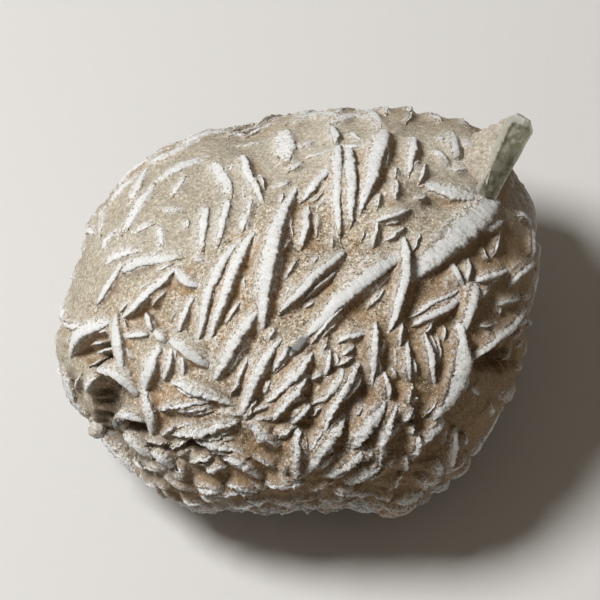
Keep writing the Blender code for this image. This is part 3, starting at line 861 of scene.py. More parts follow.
def crest_rows(blade):
    """Points of one crest, a row for each station, with crest and length marks."""
    lee = float(np.sign(blade.aside[len(blade.aside) // 2] @ SHADE_SIDE))
    fall = buried(LIT_BURY, blade.rise) + FACE_TUCK
    waver = wobble(blade.places, WAVER, blade.seed) * np.minimum(blade.share, 1 - blade.share) * 4
    rise = blade.crest + wobble(blade.places, UNEVEN, blade.seed + 3)
    worn = (1.0 + WORN_GRIT * wear_of(blade)) * (DUSTED_WEAR if blade.dust > 1.0 else 1.0)
    left, right = (
        blade.half_width * (1.0 + worn * wobble(blade.places, NICK, blade.seed + side))
        for side in (5, 9)
    )
    centre = blade.places + blade.aside * waver[:, None]
    foot = np.minimum(-FOOT_DEPTH, rise - fall - 0.4 * MM)
    columns = [(-FOOT_FLARE, foot, 0.0)]
    for across in SECTION:
        lift, white = section_point(across, fall)
        columns.append((across, rise + lift, white))
    columns += [(1.03, rise - ROUNDING - WALL_TOP, 0.12), (FOOT_FLARE, foot, 0.0)]
    if lee < 0:
        columns = [(-across, height, white) for across, height, white in columns[::-1]]
    columns = [(np.where(a < 0, left, right) * a, height, white) for a, height, white in columns]
    rows = np.stack(
        [centre + blade.aside * a[:, None] + blade.up * h[:, None] for a, h, _ in columns], axis=1
    )
    dome = rows[:, 1:-1].reshape(-1, 3)
    for spacing, amount in GRIT:
        grit = noise_at(dome, spacing, noise.noise_vector)
        rows[:, 1:-1] += amount * worn * grit.reshape(rows[:, 1:-1].shape)
    rows[:, :, 2] = np.maximum(rows[:, :, 2], FOOT_LEVEL + FOOT_GAP)
    whiteness = np.outer(smooth_step(blade.crest, -0.2 * MM, 0.5 * MM), [c for _, _, c in columns])
    along = np.repeat((blade.share * blade.length)[:, None], len(columns), axis=1)
    return rows, whiteness, along


def crest_piece(name, blades):
    """All the given blades' crests as one mesh."""
    points, faces, marks = [], [], {key: [] for key in ("crest", "along", "tone", "worn", "plate")}
    chance = random.Random(len(blades))
    start = 0
    for blade in blades:
        rows, white, along = crest_rows(blade)
        stations, width = rows.shape[:2]
        count = stations * width
        points.append(rows.reshape(-1, 3))
        plate = float(blade.half_width.max() > PLATE_WIDTH / 2)
        values = (white.ravel(), along.ravel(), chance.random(), wear_of(blade), plate)
        for key, value in zip(marks, values):
            marks[key].append(np.full(count, value))
        grid = np.arange(count).reshape(stations, width) + start
        ring = np.concatenate([grid, grid[:, :1]], axis=1)
        quads = np.stack([ring[:-1, :-1], ring[:-1, 1:], ring[1:, 1:], ring[1:, :-1]], axis=-1)
        faces += [*quads.reshape(-1, 4).tolist(), grid[0, ::-1].tolist(), grid[-1].tolist()]
        start += count
    points = np.concatenate(points)
    mesh = bpy.data.meshes.new(name)
    mesh.from_pydata((points + np.array(BODY_CENTRE)).tolist(), [], faces)
    mesh.update()
    mark(mesh, **{key: np.concatenate(values) for key, values in marks.items()})
    mark(mesh, smoky=patch(points, SMOKY_ENDS))
    return shown_piece(mesh)


show_crests = crest_piece("show_crests", show_blades)
fine_crests = crest_piece("fine_crests", split + fillers)
back_crests = crest_piece("back_crests", back_blades)
small_crests = crest_piece("small_crests", small_blades)

# %% [markdown]
# ## The clear crystal, its wedge of sand and the knob
# One crystal on the right shoulder grew free of sand and stayed clear. It is a flat six-sided
# prism, a little fatter at its broken tip. A cylinder primitive would read as a peg, so it is
# lofted from rings: each ring is the same flat hexagon with softened corners, and slow noise
# along it gives the growth steps. Sand has stayed stuck to its left side as a wedge, lofted from
# rings as well. The knob at the left edge is a little ball of cemented sand, half sunk in the skin.

# %% Crystal axis and lofting
STUB_FOOT = (485, 194)
STUB_TIP = (523, 117)
STUB_LIFT = 0.16

stub_foot = dropped(STUB_FOOT)[0]
stub_reach = on_sheet(STUB_TIP) - on_sheet(STUB_FOOT)
stub_axis = (stub_reach + SHEET_OUT * stub_reach.length * STUB_LIFT).normalized()
stub_across = stub_axis.cross(SHEET_OUT).normalized()
stub_deep = stub_axis.cross(stub_across)


def lofted(name, rings):
    """Closed mesh through rings of points, from foot to tip."""
    shape = bmesh.new()
    rows = [[shape.verts.new(point + BODY_CENTRE) for point in ring] for ring in rings]
    for low, high in zip(rows, rows[1:]):
        for side in range(len(low)):
            after = (side + 1) % len(low)
            shape.faces.new((low[side], low[after], high[after], high[side]))
    shape.faces.new(rows[-1])
    shape.faces.new(rows[0][::-1])
    bmesh.ops.recalc_face_normals(shape, faces=shape.faces)
    return mesh_of(name, shape)


print("crystal length, mm:", round(stub_reach.length / MM, 1))

# %% Clear crystal
STUB_WIDTH = 5.5 * MM
STUB_THICKNESS = 3.1 * MM
STUB_SLIMMING = 0.70
STUB_TURN = math.radians(14.0)
STUB_ROOT = 0.12
STUB_RINGS = 44
STUB_SIDES = 36
STUB_SHARP = math.radians(28)


def stub_crystal():
    """The clear prism, lofted along its axis, with its frosted edges marked."""
    rings, frost = [], []
    for ring in range(STUB_RINGS):
        share = ring / (STUB_RINGS - 1)
        size = STUB_SLIMMING + (1.0 - STUB_SLIMMING) * share
        tip = float(smooth_step(share, 0.86, 1.0))
        size *= 1.0 - 0.45 * tip**2
        level = (share * (1.0 + STUB_ROOT) - STUB_ROOT) * stub_reach.length
        rings.append([])
        for side in range(STUB_SIDES):
            angle = math.tau * side / STUB_SIDES
            sector = (angle + math.pi / 6) % (math.pi / 3) - math.pi / 6
            radius = min(math.cos(math.pi / 6) / math.cos(sector), 0.965) * 0.5
            step = noise.noise(Vector((math.cos(angle) * 3, math.sin(angle) * 3, share * 9)))
            radius *= size * (1.0 + 0.06 * step)
            turned = angle + STUB_TURN
            place = stub_foot + stub_axis * (level + 0.2 * MM * step * tip)
            place += stub_across * math.cos(turned) * radius * STUB_WIDTH
            place += stub_deep * math.sin(turned) * radius * STUB_THICKNESS
            rings[-1].append(place)
            edge = 0.8 * float(smooth_step(abs(math.cos(angle)), 0.62, 0.86))
            frost.append(max(edge, float(smooth_step(share, 0.88, 0.97))))
    piece = shown_piece(lofted("clear_crystal", rings))
    piece.data.set_sharp_from_angle(angle=STUB_SHARP)
    mark(piece.data, frost=np.array(frost))
    return piece


clear_crystal = stub_crystal()

# %% Wedge of sand
# Each corner is a place on the sheet, and how far it has risen from the skin to the crystal.
WEDGE_OUTLINE = (
    (486, 186, 1.0), (474, 184, 0.0), (462, 168, 0.0), (462, 148, 0.0), (472, 134, 0.0),
    (487, 128, 0.5), (499, 122, 0.9), (512, 117, 1.0), (513, 124, 1.0), (507, 140, 1.0),
    (499, 158, 1.0), (492, 174, 1.0),
)
WEDGE_HALF_DEPTH = 1.7 * MM
WEDGE_RINGS = 30
WEDGE_STEPS = 9
WEDGE_SUNK = 1.2 * MM


def sandy_piece(mesh, crest, rust):
    """Piece of sand that has no blades of its own, with the sand material's marks."""
    piece = shown_piece(mesh)
    levels = {"crest": crest, "coarse": 0.2, "rust": rust}
    mark(mesh, **{name: np.full(len(mesh.vertices), level) for name, level in levels.items()})
    return piece


def wedge():
    """Sand between the skin and the crystal's left side: a drawn outline, swelled in depth."""
    crystal_level = (stub_foot + stub_axis * stub_reach.length * 0.55).dot(SHEET_OUT) - 0.6 * MM
    corners = []
    for x, y, share in WEDGE_OUTLINE:
        skin_level = dropped((x, y))[0].dot(SHEET_OUT) - WEDGE_SUNK
        level = skin_level + (crystal_level - skin_level) * share
        corners.append(on_sheet((x, y)) + SHEET_OUT * level)
    outline = []
    for corner, after in zip(corners, corners[1:] + corners[:1]):
        outline += [corner.lerp(after, step / WEDGE_STEPS) for step in range(WEDGE_STEPS)]
    middle = sum(outline, Vector()) / len(outline)
    rings = []
    for ring in range(WEDGE_RINGS):
        turn = math.pi * (ring + 0.3) / (WEDGE_RINGS - 0.4)
        size = math.sin(turn) ** 0.45
        depth = SHEET_OUT * (-WEDGE_HALF_DEPTH * math.cos(turn))
        points = [middle.lerp(point, size) + depth for point in outline]
        rings.append([p + 0.3 * MM * noise.noise_vector(p / (1.3 * MM)) for p in points])
    return sandy_piece(lofted("crystal_wedge", rings), 0.2, 0.1)


crystal_wedge = wedge()

# %% Knob
KNOB_PLACE = (98, 427)
KNOB_RADIUS = 1.5 * MM
KNOB_SUNK = 0.45


def knob():
    """A rough little ball of cemented sand."""
    ball = bmesh.new()
    bmesh.ops.create_icosphere(ball, subdivisions=5, radius=KNOB_RADIUS)
    bpy.context.view_layer.update()
    above = on_sheet(KNOB_PLACE) + SHEET_OUT * DROP_HEIGHT + BODY_CENTRE
    _, place, normal, _ = sand_body.ray_cast(above, -SHEET_OUT)
    place = place + normal * KNOB_RADIUS * KNOB_SUNK
    for vertex in ball.verts:
        vertex.co *= 1.0 + 0.16 * noise.noise(vertex.co / (0.8 * MM))
        vertex.co += place
    return sandy_piece(mesh_of("sand_knob", ball), 0.9, 0.2)


sand_knob = knob()

# %% [markdown]
# ## Material helpers
# Every finish here is built from the same few nodes: a position in the object, cell and cloud
# noise, ramps and bumps. These helpers keep each recipe down to what is particular to it.

# %% Material helpers
class Nodes:
    """A node tree, with short ways to add to it."""

    def __init__(self, tree):
        self.tree = tree

    def fill(self, socket, value):
        """Link a socket to another, or set its value. A colour can leave out its alpha."""
        if isinstance(value, bpy.types.NodeSocket):
            self.tree.links.new(value, socket)
        else:
            short = socket.type == "RGBA" and len(value) == 3
            socket.default_value = (*value, 1.0) if short else value

    def add(self, kind, inputs=(), **settings):
        """Add a node, set its properties, then fill its inputs by name or number."""
        node = self.tree.nodes.new(kind)
        for key, value in settings.items():
            setattr(node, key, value)
        for key, value in dict(inputs).items():
            self.fill(node.inputs[key], value)
        return node

    def maths(self, operation, first, second):
        return self.add("ShaderNodeMath", {0: first, 1: second}, operation=operation).outputs[0]

    def times(self, first, second):
        return self.maths("MULTIPLY", first, second)

    def vectors(self, operation, inputs):
        return self.add("ShaderNodeVectorMath", inputs, operation=operation).outputs[0]


class Finish(Nodes):
    """A material's nodes, with the ones its recipe can call on."""

    def __init__(self, name):
        self.material = bpy.data.materials.new(name)
        self.material.use_nodes = True
        super().__init__(self.material.node_tree)
        self.place = self.add("ShaderNodeTexCoord").outputs["Object"]

    def between(self, value, low, high, start=0.0, end=1.0):
        """Smoothly map a value from low-high to start-end."""
        inputs = dict(zip(("Value", "From Min", "From Max"), (value, low, high)))
        inputs |= {"To Min": start, "To Max": end}
        node = self.add("ShaderNodeMapRange", inputs, interpolation_type="SMOOTHSTEP")
        return node.outputs["Result"]

    def marked(self, name, start=None, end=1.0):
        """A mark, smoothly mapped to start-end where those are given."""
        value = self.add("ShaderNodeAttribute", attribute_name=name).outputs["Fac"]
        return value if start is None else self.between(value, 0.0, 1.0, start, end)

    def cloud(self, spacing, detail=3.0, roughness=0.55, place=None):
        """Cloud noise with features about this far apart."""
        inputs = {"Vector": self.place if place is None else place, "Scale": 1.0 / spacing}
        inputs |= {"Detail": detail, "Roughness": roughness}
        return self.add("ShaderNodeTexNoise", inputs).outputs["Fac"]

    def cells(self, spacing, place):
        """Distance to the middle of each cell, then two random numbers that each cell has."""
        cells = self.add("ShaderNodeTexVoronoi", {"Vector": place, "Scale": 1.0 / spacing})
        parts = self.add("ShaderNodeSeparateColor", {0: cells.outputs["Color"]}).outputs
        return cells.outputs["Distance"], parts[0], parts[1]

    def mixed(self, factor, first, second, blend="MIX"):
        """Mix two colours."""
        inputs = {0: factor, 6: first, 7: second}
        return self.add("ShaderNodeMix", inputs, data_type="RGBA", blend_type=blend).outputs[2]

    def ramp(self, factor, stops, interpolation="LINEAR"):
        """Colour ramp from (place, colour) stops."""
        node = self.add("ShaderNodeValToRGB", {"Fac": factor})
        node.color_ramp.interpolation = interpolation
        elements = node.color_ramp.elements
        while len(elements) < len(stops):
            elements.new(0.5)
        for element, (position, colour) in zip(elements, stops):
            element.position = position
            element.color = (*colour, 1.0)
        return node.outputs["Color"]

    def bump(self, height, distance, strength, after=None):
        inputs = {"Height": height, "Distance": distance, "Strength": strength}
        if after is not None:
            inputs["Normal"] = after
        return self.add("ShaderNodeBump", inputs).outputs["Normal"]

    def finish(self, inputs):
        """Fill the shader's inputs, and give the material."""
        shader = self.tree.nodes["Principled BSDF"]
        for key, value in inputs.items():
            self.fill(shader.inputs[key], value)
        print(self.material.name, "nodes:", len(self.tree.nodes))
        return self.material


print("helpers ready")

# %% [markdown]
# ## Sand
# Close to, the sand is grains of about a quarter of a millimetre: mostly tan, some clear or white
# quartz, some rusty, a few black. A cell texture is the right tool, because each cell is one grain
# with one random colour. Slow noise shifts whole areas warmer or lighter. Troughs, hollows and steep
# flanks are painted darker and browner: partly iron, partly painted shade. The sand on the shaded
# side of each crest gets painted brown shade, the lower right is painted browner, partly iron and
# partly painted shade, and a few patches are painted light. Sand close to a crest is dusted white
# with gypsum, reaching further on the side towards the lamp, which is painted light.

# %% Sand material
TAN = (0.345, 0.305, 0.242)
PALE_SAND = (0.485, 0.45, 0.38)
CALM_TAN = (0.30, 0.272, 0.215)
CALM_SAND = (0.455, 0.43, 0.365)
RUST = (0.29, 0.20, 0.115)
RUSTY_TAN = (0.27, 0.20, 0.125)
# Warm brown for random patches, and painted brown shade behind the crests.
WARM_PATCH_AND_SHADE_BROWN = (0.36, 0.215, 0.10)
# Near-black painted shade for the deepest gaps in the worn foot.
DEEP_SHADE_SAND = (0.11, 0.078, 0.048)
# Brown for iron-stained sand and painted shade towards the lower right.
BROWN_SAND_AND_SHADE = (0.30, 0.20, 0.105)
DARK_GRAIN = (0.06, 0.042, 0.025)
QUARTZ = (0.72, 0.68, 0.60)
CHALK = (0.665, 0.68, 0.70)
LOOSE_SAND = (
    (0.0, DARK_GRAIN), (0.06, RUST), (0.14, RUSTY_TAN),
    (0.29, TAN), (0.60, PALE_SAND), (0.84, QUARTZ),
)
BLOTCHES = ((0.0, (0.62, 0.58, 0.52)), (1.0, (1.16, 1.16, 1.16)))
GRAIN_SIZE = 0.31 * MM
GRAIN_WARP = 0.12 * MM
GRAIN_WARP_SPACING = 0.5 * MM


def sand_material():
    nodes = Finish("sandy_gypsum")
    noise_inputs = {"Vector": nodes.place, "Scale": 1.0 / GRAIN_WARP_SPACING}
    warp = nodes.add("ShaderNodeTexNoise", noise_inputs).outputs["Color"]
    warp = nodes.vectors("MULTIPLY", {0: warp, 1: (GRAIN_WARP,) * 3})
    moved = nodes.vectors("ADD", {0: nodes.place, 1: warp})
    distance, kind, tint = nodes.cells(GRAIN_SIZE, moved)
    grains = nodes.ramp(kind, LOOSE_SAND, "CONSTANT")
    patches = nodes.maths("ADD", nodes.cloud(6.0 * MM, 2.0), nodes.cloud(0.9 * MM))
    calm = nodes.mixed(nodes.between(patches, 0.75, 1.25, 0.0, 0.6), CALM_TAN, CALM_SAND)
    # Painted light: the listed patches mix the calm sand towards quartz white.
    calm = nodes.mixed(nodes.times(nodes.marked("pale"), 0.3), calm, QUARTZ)
    colour = nodes.mixed(nodes.marked("coarse", 0.36, 0.9), calm, grains)
    # Painted shade in troughs, hollows and steep flanks: rusty brown, and near black in the worn
    # gaps at the foot.
    rust = nodes.times(nodes.marked("depth"), nodes.between(tint, 0.0, 1.0, 0.55, 1.0))
    gap = nodes.mixed(nodes.marked("worn"), RUST, DEEP_SHADE_SAND)
    colour = nodes.mixed(rust, colour, gap)
    warm = nodes.times(nodes.between(nodes.cloud(2.6 * MM), 0.5, 0.72), 0.75)
    colour = nodes.mixed(nodes.times(warm, nodes.marked("coarse")), colour, WARM_PATCH_AND_SHADE_BROWN)
    # Painted shade: brown on the sand behind each crest, on its shaded side.
    behind = nodes.times(nodes.marked("lee", 0.0, 0.8), nodes.marked("coarse", 0.4))
    colour = nodes.mixed(behind, colour, WARM_PATCH_AND_SHADE_BROWN)
    # Iron staining and painted shade together: browner sand towards the lower right, away from the
    # lamp.
    brown = nodes.mixed(0.55, BROWN_SAND_AND_SHADE, grains, "MULTIPLY")
    brown = nodes.mixed(0.5, BROWN_SAND_AND_SHADE, brown)
    colour = nodes.mixed(nodes.marked("rust", 0.0, 0.85), colour, brown)
    blotch = nodes.between(nodes.cloud(0.75 * MM, 4.0, 0.6), 0.3, 0.7)
    shade = nodes.ramp(blotch, BLOTCHES)
    colour = nodes.mixed(nodes.marked("coarse", 0.4), colour, shade, "MULTIPLY")
    dust = nodes.times(nodes.marked("crest"), nodes.between(tint, 0.1, 0.9, 0.0, 0.7))
    rounded = nodes.maths("SUBTRACT", 1.0, distance)
    rounded = nodes.times(rounded, nodes.marked("coarse", 0.12))
    rounded = nodes.bump(rounded, 0.12 * MM, 0.6)
    lumpy = nodes.marked("coarse", 0.1, 0.5)
    lumps = nodes.bump(nodes.cloud(0.5 * MM, 4.0, 0.6), 0.10 * MM, lumpy, rounded)
    return nodes.finish({
        "Base Color": nodes.mixed(dust, colour, CHALK),
        "Roughness": 0.9,
        "Specular IOR Level": 0.35,
        "Normal": lumps,
    })


sand = sand_material()

# %% [markdown]
# ## Gypsum crests
# The crests are nearly pure gypsum, chalk white where sand and wind have frosted them. The crystal's
# layers end on the crest as fine ribs across it, so the ribs run on the length mark and not on
# space. Towards the flanks the white gives way to sand, and stray grains stick to it everywhere.

# %% Gypsum material
DULL_CHALK = (0.60, 0.61, 0.61)
GREY_GYPSUM = (0.47, 0.485, 0.455)
PLATE_CHALK_AND_LIGHT = (0.77, 0.79, 0.805)
RIB_SHADE = (0.50, 0.48, 0.44)
PIT_GREY = (0.24, 0.25, 0.265)
SMOKE_GREY = (0.045, 0.05, 0.05)
RIB_SPACING = 0.33 * MM
STUCK_SAND = ((0.0, DARK_GRAIN), (0.08, RUST), (0.2, TAN), (0.65, PALE_SAND), (0.9, QUARTZ))


def gypsum_material():
    nodes = Finish("gypsum_crest")
    _, kind, tint = nodes.cells(GRAIN_SIZE, nodes.place)
    wander = nodes.times(nodes.cloud(1.5 * MM), 1.6 * MM)
    along = nodes.maths("ADD", nodes.marked("along"), wander)
    rib_place = nodes.add("ShaderNodeCombineXYZ", {0: along, 1: nodes.marked("tone")}).outputs[0]
    ribs = nodes.cloud(RIB_SPACING, 2.0, place=rib_place)
    ribbed = nodes.maths("SUBTRACT", 1.0, nodes.times(nodes.marked("plate"), 0.8))
    streaks = nodes.between(nodes.cloud(1.1 * MM, 4.0), 0.4, 0.75)
    white = nodes.mixed(streaks, CHALK, DULL_CHALK)
    # Painted light: broad plates are whitened, partly their own broken white face, partly to make up
    # for facing away from the lamp.
    white = nodes.mixed(nodes.times(nodes.marked("plate"), 0.8), white, PLATE_CHALK_AND_LIGHT)
    grey = nodes.times(nodes.between(nodes.marked("tone"), 0.72, 1.0), 0.25)
    glassy = nodes.between(nodes.cloud(0.9 * MM, 4.0, 0.6), 0.55, 0.64)
    grey = nodes.maths("MAXIMUM", grey, nodes.times(glassy, nodes.marked("plate")))
    white = nodes.mixed(grey, white, GREY_GYPSUM)
    rib_shade = nodes.times(nodes.between(ribs, 0.3, 0.52, 0.5, 0.0), ribbed)
    white = nodes.mixed(rib_shade, white, RIB_SHADE)
    pitted = nodes.between(nodes.cloud(0.33 * MM, 3.0, 0.65), 0.5, 0.62)
    white = nodes.mixed(nodes.times(pitted, nodes.marked("worn", 0.12, 0.8)), white, PIT_GREY)
    smoky = nodes.between(nodes.marked("smoky"), 0.2, 0.6)
    smoky = nodes.times(smoky, nodes.between(ribs, 0.4, 0.6, 0.72, 1.0))
    white = nodes.mixed(smoky, white, SMOKE_GREY)
    patches = nodes.between(nodes.cloud(0.55 * MM, 4.0, 0.6), 0.3, 0.7, -0.55, 0.5)
    clean = nodes.maths("ADD", nodes.marked("crest"), patches)
    clean = nodes.maths("SUBTRACT", clean, nodes.times(nodes.marked("worn"), 0.12))
    cover = nodes.between(clean, 0.3, 0.65, 1.0, 0.0)
    stray = nodes.times(nodes.between(tint, 0.965, 0.98), 0.6)
    cover = nodes.maths("MAXIMUM", cover, stray)
    rib_bump = nodes.bump(nodes.times(ribs, ribbed), 0.10 * MM, 0.7)
    return nodes.finish({
        "Base Color": nodes.mixed(cover, white, nodes.ramp(kind, STUCK_SAND, "CONSTANT")),
        "Roughness": 0.62,
        "Specular IOR Level": 0.4,
        "Subsurface Weight": 0.12,
        "Subsurface Radius": (1.0, 0.85, 0.7),
        "Subsurface Scale": 0.6 * MM,
        "Normal": nodes.bump(nodes.cloud(0.42 * MM, 5.0, 0.7), 0.22 * MM, 0.85, rib_bump),
    })


gypsum = gypsum_material()

# %% [markdown]
# ## Clear selenite
# The clear crystal is selenite, gypsum without sand. It is a real transmitting solid with gypsum's
# index of refraction. Its faces are smoky grey-green with cloudy patches, and weathering has
# frosted its edges and its broken tip white, which the frost mark says.

# %% Selenite material
GREY_GREEN = (0.44, 0.44, 0.345)
SMOKY = (0.20, 0.19, 0.135)
FROST = (0.86, 0.86, 0.78)


def selenite_material():
    nodes = Finish("clear_selenite")
    frosted = nodes.maths("ADD", nodes.marked("frost"), nodes.cloud(0.6 * MM, 4.0))
    frosted = nodes.between(frosted, 0.75, 1.25)
    smoke = nodes.between(nodes.cloud(1.1 * MM), 0.42, 0.58)
    clear = nodes.mixed(smoke, SMOKY, GREY_GREEN)
    return nodes.finish({
        "Base Color": nodes.mixed(frosted, clear, FROST),
        "Transmission Weight": 0.72,
        "IOR": 1.52,
        "Roughness": nodes.between(frosted, 0.0, 1.0, 0.16, 0.55),
        "Normal": nodes.bump(nodes.cloud(0.5 * MM, 4.0), 0.08 * MM, 0.5),
    })


selenite = selenite_material()

# %% Give the pieces their finishes
for material, pieces in (
    (sand, (sand_body, sand_knob, crystal_wedge)),
    (gypsum, (show_crests, fine_crests, back_crests, small_crests)),
    (selenite, (clear_crystal,)),
):
    for piece in pieces:
        piece.data.materials.append(material)
    print(material.name, "covers:", [piece.name for piece in pieces])

# %% [markdown]
# ## Loose grains
# A bump can suggest grains, but real ones catch the light one by one and stand out of the sand's
# outline. Thousands of them repeat over a surface, which is what Geometry Nodes are for. One tree
# scatters points on the sand, more where the sand is marked coarse, puts an eight-sided grain on
# each with its own size and turn, and stores a random tone for the material. It is run once for
# quartz and once for dark grains. The tree ends in real geometry, and its result is kept as a
# plain mesh.

# %% The scatter tree
GRAIN_SOCKETS = {
    "Geometry": "NodeSocketGeometry",
    "Grains per square metre": "NodeSocketFloat",
    "Smallest": "NodeSocketFloat",
    "Largest": "NodeSocketFloat",
    "Seed": "NodeSocketInt",
    "Finish": "NodeSocketMaterial",
}
CALM_SHARE = 0.12
CLEAR_FOOT = 0.4 * MM
GRAIN_SIDES = ((0.6, 0.6, 0.5), (1.2, 1.0, 0.9))
TURNS = ((0.0, 0.0, 0.0), (math.tau, math.tau, math.tau))
TONE_SEED = 5


def chance_node(nodes, limits, seed):
    """A random value for each point between two numbers or two vectors."""
    vector = isinstance(limits[0], tuple)
    first, kind = (0, "FLOAT_VECTOR") if vector else (2, "FLOAT")
    inputs = {first: limits[0], first + 1: limits[1], "Seed": seed}
    return nodes.add("FunctionNodeRandomValue", inputs, data_type=kind).outputs[first // 2]


def grain_tree():
    """Geometry Nodes tree that scatters small grains on a surface."""
    tree = bpy.data.node_groups.new("scatter_grains", "GeometryNodeTree")
    for name, kind in GRAIN_SOCKETS.items():
        tree.interface.new_socket(name, in_out="INPUT", socket_type=kind)
    tree.interface.new_socket("Geometry", in_out="OUTPUT", socket_type="NodeSocketGeometry")
    nodes = Nodes(tree)
    given = nodes.add("NodeGroupInput").outputs
    seed = given["Seed"]
    coarse = nodes.add("GeometryNodeInputNamedAttribute", {"Name": "coarse"}, data_type="FLOAT")
    range_inputs = {"Value": coarse.outputs[0], "To Min": CALM_SHARE, "To Max": 1.0}
    share = nodes.add("ShaderNodeMapRange", range_inputs).outputs[0]
    place = nodes.add("GeometryNodeInputPosition").outputs[0]
    height = nodes.add("ShaderNodeSeparateXYZ", {0: place}).outputs[2]
    density = nodes.times(given["Grains per square metre"], share)
    density = nodes.times(density, nodes.maths("GREATER_THAN", height, CLEAR_FOOT))
    points = nodes.add(
        "GeometryNodeDistributePointsOnFaces",
        {"Mesh": given["Geometry"], "Density": density, "Seed": seed},
    )
    grain = nodes.add("GeometryNodeMeshUVSphere", {"Segments": 4, "Rings": 2, "Radius": 0.5})
    scale = chance_node(nodes, (given["Smallest"], given["Largest"]), seed)
    sides = nodes.vectors("SCALE", {0: chance_node(nodes, GRAIN_SIDES, seed), "Scale": scale})
    placed = nodes.add(
        "GeometryNodeInstanceOnPoints",
        {
            "Points": points.outputs["Points"],
            "Instance": grain.outputs["Mesh"],
            "Rotation": chance_node(nodes, TURNS, seed),
            "Scale": sides,
        },
    )
    tone = chance_node(nodes, (0.0, 1.0), TONE_SEED)
    toned = nodes.add(
        "GeometryNodeStoreNamedAttribute",
        {"Geometry": placed.outputs[0], "Name": "tone", "Value": tone},
        data_type="FLOAT",
        domain="INSTANCE",
    )
    real = nodes.add("GeometryNodeRealizeInstances", {"Geometry": toned.outputs[0]})
    finish_inputs = {"Geometry": real.outputs[0], "Material": given["Finish"]}
    finished = nodes.add("GeometryNodeSetMaterial", finish_inputs)
    nodes.add("NodeGroupOutput", {"Geometry": finished.outputs[0]})
    return tree


scatter_grains = grain_tree()
print("scatter nodes:", len(scatter_grains.nodes))

# %% Scattering the grains
def set_inputs(modifier, values):
    """Set a modifier's inputs by their names in the tree."""
    for item in modifier.node_group.interface.items_tree:
        if item.item_type == "SOCKET" and item.in_out == "INPUT" and item.name in values:
            modifier[item.identifier] = values[item.name]


def scattered(name, density, sizes, seed, finish):
    """Scatter grains on the sand body, and keep the result as a plain mesh piece."""
    holder = bpy.data.objects.new(name + "_holder", sand_body.data)
    bpy.context.scene.collection.objects.link(holder)
    modifier = holder.modifiers.new("scatter", "NODES")
    modifier.node_group = scatter_grains
    values = {"Grains per square metre": density, "Seed": seed, "Finish": finish}
    values |= {"Smallest": sizes[0] * MM, "Largest": sizes[1] * MM}
    set_inputs(modifier, values)
    graph = bpy.context.evaluated_depsgraph_get()
    mesh = bpy.data.meshes.new_from_object(holder.evaluated_get(graph))
    bpy.data.objects.remove(holder)
    mesh.name = name
    return shown_piece(mesh, smooth=False)


def grain_material(name, light, dark, roughness):
    """Grains between two colours by their random tone."""
    nodes = Finish(name)
    colour = nodes.mixed(nodes.marked("tone"), light, dark)
    mottle = nodes.between(nodes.cloud(0.2 * MM), 0.3, 0.7, 0.0, 0.35)
    return nodes.finish({"Base Color": nodes.mixed(mottle, colour, TAN), "Roughness": roughness})


quartz = grain_material("quartz_grain", (0.86, 0.84, 0.79), (0.58, 0.50, 0.38), 0.25)
dark = grain_material("dark_grain", (0.28, 0.17, 0.09), (0.05, 0.04, 0.03), 0.4)
quartz_grains = scattered("quartz_grains", 2.9e6, (0.10, 0.34), 3, quartz)
dark_grains = scattered("dark_grains", 1.7e6, (0.09, 0.27), 8, dark)

# %% [markdown]
# ## Joining the pieces to the solid
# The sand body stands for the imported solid, which stays behind for collision. Every other piece
# rides with the same body.

# %% Joining
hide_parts("sand_rose")
for piece in (
    sand_body,
    sand_knob,
    show_crests,
    fine_crests,
    back_crests,
    small_crests,
    clear_crystal,
    crystal_wedge,
    quartz_grains,
    dark_grains,
):
    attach(piece, "root")
print("pieces ride on root")

# %% [markdown]
# ## Floor, light and camera
# A pale floor and one large soft lamp from the upper left show the relief best: the lamp rakes
# across the crests and leaves the far side of each one in shade. A weak sky fills the shade. The
# camera looks square onto the drawing sheet through a long lens.

# %% Floor
FLOOR_HALF_SIDE = 3.0
FLOOR_GREYS = ((0.56, 0.56, 0.56), (0.60, 0.60, 0.60))
FLOOR_CLOUDS = 0.2

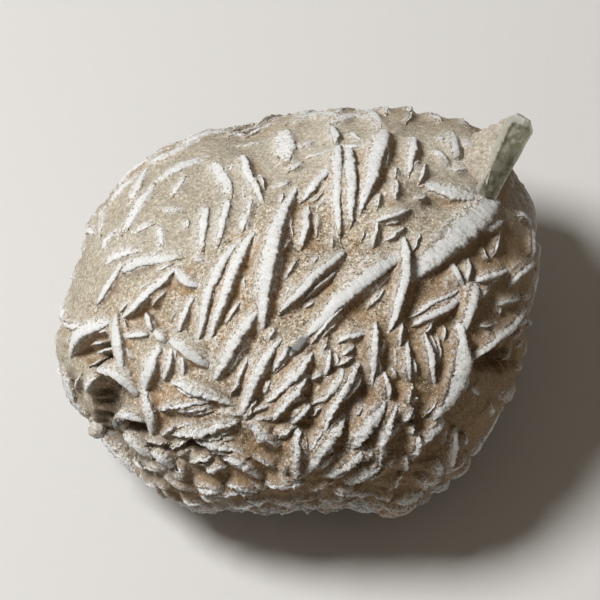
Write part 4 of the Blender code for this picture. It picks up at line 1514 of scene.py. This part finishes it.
grid = bmesh.new()
bmesh.ops.create_grid(grid, x_segments=1, y_segments=1, size=FLOOR_HALF_SIDE)
floor = shown_piece(mesh_of("floor", grid), smooth=False)
paint = Finish("studio_floor")
floor_tone = paint.mixed(paint.cloud(FLOOR_CLOUDS), *FLOOR_GREYS)
floor.data.materials.append(paint.finish({"Base Color": floor_tone, "Roughness": 0.9}))

# %% Light
LAMP_ANGLE = math.radians(46.0)
LAMP_DISTANCE = 0.8
LAMP_SIZE = 0.28
LAMP_POWER = 8.4
LAMP_COLOUR = (1.0, 0.99, 0.965)
SKY_COLOUR = (1.0, 0.85, 0.67, 1.0)
SKY_STRENGTH = 0.17

sky = bpy.data.worlds.new("studio_sky")
sky.use_nodes = True
background = sky.node_tree.nodes["Background"].inputs
background["Color"].default_value = SKY_COLOUR
background["Strength"].default_value = SKY_STRENGTH
bpy.context.scene.world = sky
bpy.context.scene.view_settings.view_transform = "Standard"

lamp_side = (SHEET_UP * 0.66 - SHEET_RIGHT * 0.75).normalized()
lamp_way = SHEET_OUT * math.cos(LAMP_ANGLE) + lamp_side * math.sin(LAMP_ANGLE)
lamp_data = bpy.data.lights.new("soft_lamp", "AREA")
lamp_data.shape = "DISK"
lamp_data.size = LAMP_SIZE
lamp_data.energy = LAMP_POWER
lamp_data.color = LAMP_COLOUR
lamp = bpy.data.objects.new("soft_lamp", lamp_data)
bpy.context.scene.collection.objects.link(lamp)
lamp.location = BODY_CENTRE + lamp_way * LAMP_DISTANCE
lamp.rotation_euler = (-lamp_way).to_track_quat("-Z", "Y").to_euler()
print("lamp height, m:", round(lamp.location.z, 2))

# %% Camera
FRAME_SIDE = 600
FRAME_MIDDLE = (300, 300)
CAMERA_DISTANCE = 2.0
CLIP_START = 0.01

camera_data = bpy.data.cameras.new("camera")
camera_data.lens = camera_data.sensor_width * CAMERA_DISTANCE / (FRAME_SIDE * STEP)
camera_data.clip_start = CLIP_START
camera = bpy.data.objects.new("camera", camera_data)
bpy.context.scene.collection.objects.link(camera)
camera.location = BODY_CENTRE + on_sheet(FRAME_MIDDLE) + SHEET_OUT * CAMERA_DISTANCE
camera.rotation_euler = (math.pi / 2 - SHEET_TILT, 0.0, 0.0)
bpy.context.scene.camera = camera
print("lens, mm:", round(camera_data.lens))
